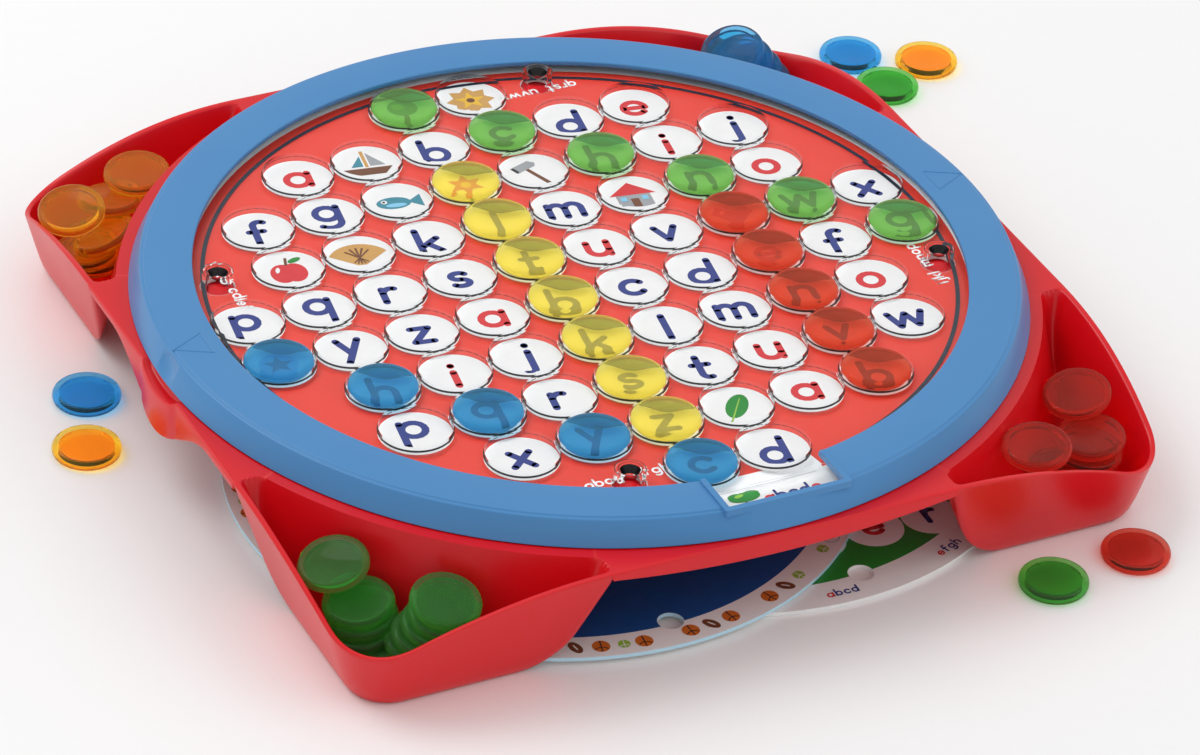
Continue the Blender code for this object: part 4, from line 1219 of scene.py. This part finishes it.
@dataclass
class Disc:
    """A board disc with four holes for the collars.

    Attributes:
        name: Its name.
        centre: Where its middle lies, and the height of its underside.
        radius: Its radius.
        hole_radius: Of each hole.
        holes: Plan places of the holes.
        field_radius: Of the printed field inside the white rim.
        field: The field's ink.
        body: The body that carries it.
        slot: The record's material slot.
        node: The model's piece that it stands for.
        edge: The ink of its cut edges; the blue disc's is a painted pale-blue glow.
    """

    name: str
    centre: tuple[float, float, float]
    radius: float
    hole_radius: float
    holes: list[Point]
    field_radius: float
    field: Ink
    body: str
    slot: str
    node: str
    edge: Ink = Ink.PAPER

    def board(self) -> bpy.types.Object:
        """Build the white-edged board."""
        x, y, low = self.centre
        shape = Shape()
        high = low + CARD_THICKNESS
        outline = circle((x, y), self.radius, 192)
        holes = [circle(place, self.hole_radius, 40) for place in self.holes]
        shape.flat(outline, high, 0, holes)
        shape.flat(outline, low, 0, holes, faces_down=True)
        shape.wall(outline, low, high, slot=1)
        for hole in holes:
            shape.wall(hole, low, high, True, slot=1)
        inks = [Ink.PAPER.material(), self.edge.material()]
        board = shape.build(self.name + "_board", inks, merge=0.000001)
        return dress(board, self.body, self.slot, [self.node])

    def field_print(self) -> Print:
        """Start the print with the coloured field."""
        sheet = Print(self.centre[2] + CARD_THICKNESS)
        room = self.hole_radius + 0.0001
        if math.dist(self.holes[0], self.centre[:2]) + room > self.field_radius:
            sheet.patch(notched(self.centre[:2], self.field_radius, self.holes, room), self.field, 1)
        else:
            sheet.patch(circle(self.centre[:2], self.field_radius, 160), self.field, 1,
                        [circle(place, room, 40) for place in self.holes])
        return sheet


@dataclass
class LetterDisc:
    """The disc in play: white letter circles and pictures on a red field with a white rim."""

    circle_radius: float = 0.4825 * PITCH
    letter_size: float = 0.0086
    field_radius: float = 0.11475
    border_radius: float = 0.1109    # of the painted reflection of the ring's inner wall, a dark line that breaks at the window
    border_width: float = 0.0013
    rim_words: int = 16
    rim_word_radius: float = 0.1215
    rim_letter_size: float = 0.0030
    window_letter_size: float = 0.0032
    run_letter_size: float = 0.0026
    run_place: Point = (-0.0328, -0.0981)
    white_inner: float = 0.1095      # radius where the white ground at the window starts
    white_span: tuple[float, float] = (-79.5, -99.5)
    line_width: float = 0.00014

    def rim(self, sheet: Print) -> None:
        """Print the white rim's short runs of letters."""
        for number in range(self.rim_words):
            turn = FULL_TURN * number / self.rim_words
            if math.dist((math.cos(turn), math.sin(turn)), (0, -1)) < 0.2:
                continue
            run = "".join(chr(ord("a") + (number * 5 + i) % 26) for i in range(4 + number % 3))
            place = (self.rim_word_radius * math.cos(turn), self.rim_word_radius * math.sin(turn))
            sheet.word(run, place, turn + FULL_TURN / 4, self.rim_letter_size, letter_ink, 3, 0.14)

    def window(self, sheet: Print) -> None:
        """Print what shows in the ring's window: a white ground, a tree and a run of letters."""
        right, left = self.white_span
        ground = arc((0, 0), self.white_inner, right, left, 12)
        ground += arc((0, 0), self.field_radius + 0.0004, left, right, 12)
        sheet.patch(ground, Ink.WHITE, 1.5)
        sheet.line([(-0.0140, -0.1144), (0.0180, -0.1144)], self.line_width, Ink.GREY, 2.6)
        sheet.word("abcde", (0.0075, -0.1217), 0, self.window_letter_size, letter_ink, 3, 0.12)
        trunk = [(-0.0086, -0.1255), (-0.0074, -0.1255), (-0.0062, -0.1190), (-0.0070, -0.1190)]
        sheet.patch(trunk, Ink.BROWN, 3)
        crown = (((-0.0065, -0.1185), 0.0097, 0.0046), ((-0.0088, -0.1178), 0.0050, 0.0036),
                 ((-0.0042, -0.1176), 0.0052, 0.0034))
        for middle, width, height in crown:
            sheet.patch(oval(middle, width, height), Ink.LEAF, 3.4 + width * 20)
        sheet.patch(oval((-0.0078, -0.1176), 0.0030, 0.0014, 15), Ink.LIME, 4)

    def collar_runs(self, sheet: Print) -> None:
        """Print a run of letters inward of each collar."""
        for quarter, run in enumerate(("abcd efgh", "ijkl mnop", "qrst uvwx", "yzab cdef")):
            turn = FULL_TURN / 4 * quarter
            place = placed([self.run_place], (0, 0), turn)[0]
            sheet.word(run, place, turn, self.run_letter_size, white, 3, 0.14)

    def build(self) -> list[bpy.types.Object]:
        """Build and dress the disc and its print."""
        disc = Disc("letter_disc", (0, 0, CARD_BOTTOM), CARD_RADIUS, CARD_HOLE_RADIUS, collar_places(),
                    self.field_radius, Ink.FIELD, "turntable", "card_red", "card_disc")
        sheet = disc.field_print()
        letters = 0
        for site, place in well_places().items():
            sheet.patch(circle(place, self.circle_radius, 48), Ink.WHITE, 2)
            if site in PICTURES:
                for layer, (ink, outline) in enumerate(PICTURES[site]):
                    sheet.patch(placed(outline, place, LETTER_LEAN, WELL_RADIUS), ink, 3 + layer * 0.5)
                continue
            letter = chr(ord("a") + letters % 26)
            letters += 1
            left, right, foot, top = glyph_span(letter)
            shift = (-(left + right) / 2 * self.letter_size, -(foot + top) / 2 * self.letter_size)
            start = placed([shift], place, LETTER_LEAN)[0]
            sheet.letter(letter, start, LETTER_LEAN, self.letter_size, letter_ink(letter), 3)
        self.window(sheet)
        self.rim(sheet)
        self.collar_runs(sheet)
        # Painted reflection of the ring's inner wall: a dark line printed round the field's edge
        inner, outer = self.border_radius - self.border_width / 2, self.border_radius + self.border_width / 2
        sheet.patch(arc((0, 0), inner, 255, -75, 160) + arc((0, 0), outer, -75, 255, 160), Ink.SHADE, 6)
        prints = dress(sheet.finish("letter_disc_print"), "turntable", "card_red")
        return [disc.board(), prints]


@dataclass
class SpareDiscs:
    """The two spare discs that lie under the tray, one on the other."""

    radius: float = CARD_RADIUS * 0.738
    hole_share: float = 0.884
    turns: tuple[float, float] = (23.2, 19.1)
    pitch: float = 0.0185
    lean: float = math.radians(-2.4)
    first_letter: Point = (0.0204, -0.0638)
    letter_reach: float = 0.0818     # of the outermost letter circles' middles
    hole_room: float = 0.0115        # from a hole to the nearest letter circle's middle
    letter_size: float = 0.0069

    def disc(self, name: str, number: int, field: Ink, share: float) -> Disc:
        """Return one of the discs: 0 is the lower, green one and 1 the blue one."""
        low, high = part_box(name)
        centre = ((low.x + high.x) / 2, (low.y + high.y) / 2)
        start = math.atan2(-4.5, -1.5) + math.radians(self.turns[number])
        reach = self.radius * self.hole_share
        holes = [(centre[0] + reach * math.cos(start + math.pi / 2 * k),
                  centre[1] + reach * math.sin(start + math.pi / 2 * k)) for k in range(4)]
        size = self.radius / CARD_RADIUS
        # The blue disc's cut edge gets a painted pale-blue glow
        edge = Ink.ICE if number else Ink.PAPER
        return Disc(name, (*centre, low.z), self.radius, CARD_HOLE_RADIUS * size, holes, self.radius * share,
                    field, "tray", "card_" + ("blue" if number else "green"), name, edge)

    def ball(self, sheet: Print, kind: str, place: Point, turn: float) -> None:
        """Print one small ball: b with seams, f long and laced, t with a curved seam, s patched."""
        size = 0.0018 if kind == "t" else 0.0026
        if kind == "f":
            sheet.patch(oval(place, 2.2 * size, 1.3 * size, math.degrees(turn) + 30), Ink.BROWN, 2)
            sheet.line(placed([(-0.4, 0), (0.4, 0)], place, turn + 0.5, size), 0.2 * size, Ink.WHITE, 3)
            return
        fills = {"b": Ink.ORANGE, "t": Ink.LIME, "s": Ink.WHITE}
        sheet.patch(circle(place, size, 20), fills[kind], 2)
        if kind == "s":
            edge = circle((0, 0), 0.97, 20) + [(0.97, 0)]
            sheet.line(placed(edge, place, turn, size), 0.1 * size, Ink.GREY, 3)
            sheet.patch(placed(circle((0, 0), 0.36, 5), place, turn, size), Ink.BLACK, 3)
            return
        seam = Ink.BLACK if kind == "b" else Ink.WHITE
        for line in ([(-0.9, 0), (0.9, 0)], arc((1.1, 0), 0.9, 130, 230, 8)):
            sheet.line(placed(line, place, turn, size), 0.14 * size, seam, 3 + line[0][0] * 0.1)

    def build(self) -> list[bpy.types.Object]:
        """Build and dress the two discs and their prints."""
        blue = self.disc("spare_disc_blue", 1, Ink.DEEP_BLUE, 0.899)
        sheet = blue.field_print()
        x, y, _ = blue.centre
        balls = ((-24.5, "b"), (-20, "f"), (-15.3, "b"), (-11, "t"), (-7.2, "b"), (2.1, "b"), (6.5, "f"),
                 (10.9, "b"), (20.7, "b"), (25.3, "f"), (29.6, "t"), (39.3, "t"), (43.4, "s"), (47.6, "f"),
                 (52, "b"), (56.5, "t"), (61, "s"))
        first = math.degrees(math.atan2(blue.holes[0][1] - y, blue.holes[0][0] - x))
        for quarter in range(4):
            for beyond, kind in balls:
                turn = math.radians(first + 90 * quarter + beyond)
                place = (x + 0.95 * self.radius * math.cos(turn), y + 0.95 * self.radius * math.sin(turn))
                self.ball(sheet, kind, place, turn)
        prints = [dress(sheet.finish("spare_disc_blue_print"), "tray", "card_blue")]
        green = self.disc("spare_disc_green", 0, Ink.LEAF, 0.885)
        sheet = green.field_print()
        x, y, _ = green.centre
        for i in range(-6, 7):
            for j in range(-1, 9):
                shift = placed([(i * self.pitch, j * self.pitch)], self.first_letter, self.lean)[0]
                place = (x + shift[0], y + shift[1])
                clear = min(math.dist(place, hole) for hole in green.holes)
                if math.hypot(*shift) > self.letter_reach or clear < self.hole_room:
                    continue
                sheet.patch(circle(place, 0.49 * self.pitch, 40), Ink.WHITE, 2)
                letter = chr(ord("a") + (4 + 13 * i + 7 * j) % 26)
                left, right, foot, top = glyph_span(letter)
                size = self.letter_size
                start = placed([(-(left + right) / 2 * size, -(foot + top) / 2 * size)], place, self.lean)[0]
                sheet.letter(letter, start, self.lean, size, letter_ink(letter), 3)
        for number in range(14):
            turn = math.radians(-91.5 + 360 / 14 * number)
            run = "".join(chr(ord("a") + (number * 4 + i) % 26) for i in range(4))
            place = (x + 0.95 * self.radius * math.cos(turn), y + 0.95 * self.radius * math.sin(turn))
            sheet.word(run, place, turn + FULL_TURN / 4, 0.0021, letter_ink, 3, 0.2)
        prints.append(dress(sheet.finish("spare_disc_green_print"), "tray", "card_green"))
        return [blue.board(), green.board(), *prints]


# The tokens


@dataclass(frozen=True)
class Pose:
    """Where a token lies: its middle and the direction that its face looks."""

    middle: Vector
    face: Vector


POCKET_SIDES = {Hue.YELLOW: (-1, 1), Hue.GREEN: (-1, -1), Hue.RED: (1, -1), Hue.BLUE: (1, 1)}
POCKET_CENTRE = RING_FOOT_RADIUS + 0.0036 + 0.0193
# Tokens that lie in the pockets, in token radii: along the pocket, outwards and up, and the
# lean along it and outwards. The first ones are heaped, and lie under the others.
HEAPED = {
    Hue.YELLOW: ((0, 0, 0.25, 0, 0), (0.2, 0.05, 0.60, 0.1, 0.1)),
    Hue.GREEN: ((0, 0, 0.25, 0, 0), (-0.49, -0.2, 0.58, -0.2, 0.1), (0.78, -0.2, 0.92, 0.2, 0.1),
                (0.96, -0.25, 1.23, 0.2, 0.1), (1.18, -0.38, 1.54, 0.2, 0.1),
                (-0.88, -0.29, 0.88, -0.1, 0.15), (1.32, -0.49, 1.86, 0.2, 0.12),
                (-0.98, -0.39, 1.23, -0.05, 0.15)),
    Hue.RED: ((0, 0, 0.25, 0, 0), (0.29, -0.2, 0.62, 0.2, 0.1), (-0.88, -0.39, 1.07, -0.1, 0.1),
              (0.2, 0.05, 1.37, 0, 0.05)),
    Hue.BLUE: ((0, 0, 0.25, 0, 0), (-0.59, -0.2, 0.55, -0.1, 0), (-0.78, 0.1, 1.04, 0.1, -0.3),
               (-0.59, 0.25, 1.45, 0.1, -0.45)),
}
ON_TOP = {
    Hue.YELLOW: ((0.29, -0.49, 1.30, 0.1, 0.45), (-0.78, -0.25, 1.85, -0.1, 0.1),
                 (1.08, 0.2, 2.46, 0.25, 0), (-1.67, -0.72, 2.39, 0.1, 0)),
    Hue.GREEN: ((-1.08, -0.39, 1.62, -0.05, 0.15), (1.37, -0.49, 2.28, 0.2, 0.15),
                (-1.96, -0.74, 2.43, -0.1, 0.25)),
    Hue.RED: ((0.2, 0.1, 1.88, -0.1, -0.05), (1.37, -0.69, 2.43, -0.2, -0.1),
              (-2.16, -0.93, 2.79, -0.1, 0)),
    Hue.BLUE: ((-0.29, 0.2, 1.83, 0.1, -0.45), (0, 0.1, 2.19, 0.1, -0.45), (0.29, 0, 2.55, 0.1, -0.45)),
}
BOARD_COUNTS = {Hue.GREEN: 6, Hue.YELLOW: 7, Hue.RED: 5, Hue.BLUE: 5}
LOOSE = ((Hue.BLUE, "left"), (Hue.YELLOW, "left"), (Hue.BLUE, "back"), (Hue.GREEN, "back"),
         (Hue.YELLOW, "back"), (Hue.GREEN, "front"), (Hue.RED, "front"))
LOOSE_ON_TRAY = ("pocket_yellow_3", "pocket_yellow_4", "pocket_green_2", "pocket_green_3", "pocket_red_2",
                 "pocket_red_3", "pocket_blue_3")


@dataclass
class TokenMaker:
    """The lens-shaped tokens: a thick round rim about two shallow dishes."""

    dish_depth: float = 0.00055
    dish_radius: float = 0.0082
    rim_radius: float = 0.0089
    segments: int = 64
    depth_low: float = 0.0002    # heights of the painted shade inside a token, from its middle
    depth_high: float = 0.0008
    # share of the radius darkened by the painted core
    core_share: float = 0.80

    def depth(self) -> Line:
        """Return the anticlockwise outline, in token radii, of the painted shade crescent on the far side."""
        end, reach, steps = 0.77, 0.92, 16
        across = [end * (2 * i / steps - 1) for i in range(steps + 1)]
        near = [(x, 0.5 - 0.22 * math.cos(math.pi * x / (2 * end)) ** 2) for x in across]
        far = [(x, math.sqrt(reach ** 2 - x ** 2)) for x in across[1:-1]]
        return near + far[::-1]

    def profile(self) -> Line:
        """Return the outline from the middle of the top, over the rim, to the middle below."""
        half = TOKEN_THICKNESS / 2
        top = []
        for i in range(9):
            share = i / 8
            top.append((self.dish_radius * share, half - self.dish_depth * (1 - share * share)))
        bulge = TOKEN_RADIUS - self.rim_radius
        rim = [(self.rim_radius + bulge * math.sin(t), half * math.cos(t))
               for t in (math.pi * k / 14 for k in range(15))]
        return top + rim + [(r, -z) for r, z in reversed(top)]

    def inside(self, is_waiting: bool) -> Shape:
        """Return the painted shade within a token: a darker core, or a darker crescent on its far side."""
        shape = Shape()
        if is_waiting:
            outline = circle((0, 0), TOKEN_RADIUS * self.core_share, 48)
            shape.slab(outline, -self.depth_high, self.depth_high, 1)
            return shape
        heading = math.atan2(AWAY[1], AWAY[0]) - FULL_TURN / 4
        outline = placed(self.depth(), (0, 0), heading, TOKEN_RADIUS)
        shape.slab(outline, self.depth_low, self.depth_high, 1)
        return shape

    def token(self, name: str, hue: Hue, poses: Sequence[Pose], is_waiting: bool = True) -> bpy.types.Object:
        """Build one or more tokens as one piece.

        Args:
            name: The piece's name.
            hue: Its colour.
            poses: Where the tokens lie.
            True in a pocket or on the table, where the middle gets a painted darker core.

        Returns:
            The piece.
        """
        shape = Shape()
        inside = self.inside(is_waiting)
        profile = self.profile()
        turns = [FULL_TURN * i / self.segments for i in range(self.segments)]
        for pose in poses:
            turn = Vector((0, 0, 1)).rotation_difference(pose.face)
            rows = [[tuple(pose.middle + turn @ Vector((r * math.cos(t), r * math.sin(t), z)))
                     for r, z in profile] for t in turns]
            shape.grid(rows, True, False)
            shape.join(inside, pose.middle, turn.to_matrix())
        # The second finish is painted shade: a darker core or a darker crescent
        skins, deeper = (WAITING_FINISHES, TOKEN_CORES) if is_waiting else (TOKEN_FINISHES, TOKEN_DEPTHS)
        finishes = [skins[hue].material(), deeper[hue].material()]
        return shape.build(name, finishes, 60.0, 0.000002)

    def in_pocket(self, hue: Hue, shares: Sequence[float]) -> Pose:
        """Return the pose of a token in its pocket."""
        along, outwards, up, lean_along, lean_outwards = shares
        diagonal = Vector((*POCKET_SIDES[hue], 0)).normalized()
        across = Vector((-diagonal.y, diagonal.x, 0))
        middle = diagonal * (POCKET_CENTRE + outwards * TOKEN_RADIUS) + across * along * TOKEN_RADIUS
        middle.z = 0.0020 + up * TOKEN_RADIUS
        return Pose(middle, (across * lean_along + diagonal * lean_outwards + Vector((0, 0, 1))).normalized())

    def lying(self, node: str) -> Pose:
        """Return the pose of a token that lies flat, from the model's own piece."""
        low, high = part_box(node)
        return Pose((low + high) / 2, Vector((0, 0, 1)))

    def build(self) -> list[bpy.types.Object]:
        """Build and dress every token."""
        made = []
        for hue, count in BOARD_COUNTS.items():
            for name in (f"token_{hue.value}_{i}" for i in range(1, count + 1)):
                piece = self.token(name + "_lens", hue, [self.lying(name)], False)
                made.append(dress(piece, name, "token_" + hue.value, [name]))
        for hue, side in LOOSE:
            name = f"loose_{hue.value}_{side}"
            piece = self.token(name + "_lens", hue, [self.lying(name)])
            made.append(dress(piece, name, "token_" + hue.value, [name]))
        for hue in Hue:
            heap = self.token(f"heap_{hue.value}_lenses", hue, [self.in_pocket(hue, s) for s in HEAPED[hue]])
            made.append(dress(heap, "tray", "token_" + hue.value, ["heap_" + hue.value]))
            for number, shares in enumerate(ON_TOP[hue], 1):
                name = f"pocket_{hue.value}_{number}"
                piece = self.token(name + "_lens", hue, [self.in_pocket(hue, shares)])
                body = name if name in LOOSE_ON_TRAY else "tray"
                made.append(dress(piece, body, "token_" + hue.value, [name]))
        return made


# The studio


@dataclass
class Studio:
    """A white table under a large soft lamp, and the camera that looks down on it.

    Attributes:
        position: Where the camera stands.
        heading: Its heading in degrees.
        height: Its angle above the table in degrees.
        roll: Its roll in degrees.
        lens: Its focal length in millimetres, on a sensor 36 mm wide.
        world_light: Strength of the even light from all round.
    """

    position: tuple[float, float, float] = (-0.6611, -1.2724, 0.9723)
    heading: float = -27.75
    height: float = 34.08
    roll: float = 3.29
    lens: float = 174.8
    world_light: float = 0.70

    def camera(self) -> None:
        """Set the camera."""
        az, el, roll = (math.radians(a) for a in (self.heading, self.height, self.roll))
        back = Vector((math.sin(az) * math.cos(el), -math.cos(az) * math.cos(el), math.sin(el)))
        level = Vector((math.cos(az), math.sin(az), 0))
        raised = back.cross(level)
        right = level * math.cos(roll) + raised * math.sin(roll)
        up = raised * math.cos(roll) - level * math.sin(roll)
        data = bpy.data.cameras.new("camera")
        data.lens, data.sensor_width, data.sensor_fit = self.lens, 36.0, "HORIZONTAL"
        camera = bpy.data.objects.new("camera", data)
        turn = Matrix((right, up, back)).transposed().to_4x4()
        camera.matrix_world = Matrix.Translation(self.position) @ turn
        bpy.context.scene.collection.objects.link(camera)
        bpy.context.scene.camera = camera

    def lamp(self, name: str, place: Point, height: float, size: float, power: float) -> None:
        """Add a soft square lamp that looks at the middle of the table."""
        data = bpy.data.lights.new(name, "AREA")
        data.shape, data.size, data.energy = "SQUARE", size, power
        lamp = bpy.data.objects.new(name, data)
        lamp.location = (*place, height)
        lamp.rotation_euler = (-lamp.location).to_track_quat("-Z", "Y").to_euler()
        bpy.context.scene.collection.objects.link(lamp)

    def world(self) -> None:
        """Set an even light from all round, white where the camera sees it."""
        world = bpy.data.worlds.new("studio")
        world.use_nodes = True
        tree = world.node_tree
        tree.nodes.clear()
        ray = add_node(tree, "ShaderNodeLightPath")
        strength = add_node(tree, "ShaderNodeMapRange", {"To Min": self.world_light, "To Max": 1.0},
                            {"Value": ray.outputs["Is Camera Ray"]})
        light = add_node(tree, "ShaderNodeBackground", {"Color": linear("FFFFFF")},
                         {"Strength": strength.outputs["Result"]})
        add_node(tree, "ShaderNodeOutputWorld", {}, {"Surface": light.outputs[0]})
        bpy.context.scene.world = world

    def table(self) -> None:
        """Add the pale table."""
        shape = Shape()
        shape.flat([(-6, -6), (6, -6), (6, 6), (-6, 6)], -0.0001)
        shape.build("table", [printed("white_table_laminate", "FCFCFC", "FAFAFA").material()])

    def build(self) -> None:
        """Set up the whole studio."""
        self.camera()
        self.world()
        self.lamp("key_lamp", (-0.8, 0.9), 1.5, 1.2, 13)
        self.lamp("fill_lamp", (1.4, -1.0), 1.2, 1.5, 6)
        self.table()
        bpy.context.scene.view_settings.view_transform = "Standard"


def main() -> None:
    """Build every piece of the game in the frame, then the studio."""
    logging.basicConfig(level=logging.INFO, format="%(name)s: %(message)s")
    pieces = [Tray().build(), *RingFrame().build(), *ClearPlate().build(), *LetterDisc().build(),
              *SpareDiscs().build(), *TokenMaker().build()]
    Studio().build()
    LOG.info("%d pieces", len(pieces))


if __name__ == "__main__":
    main()
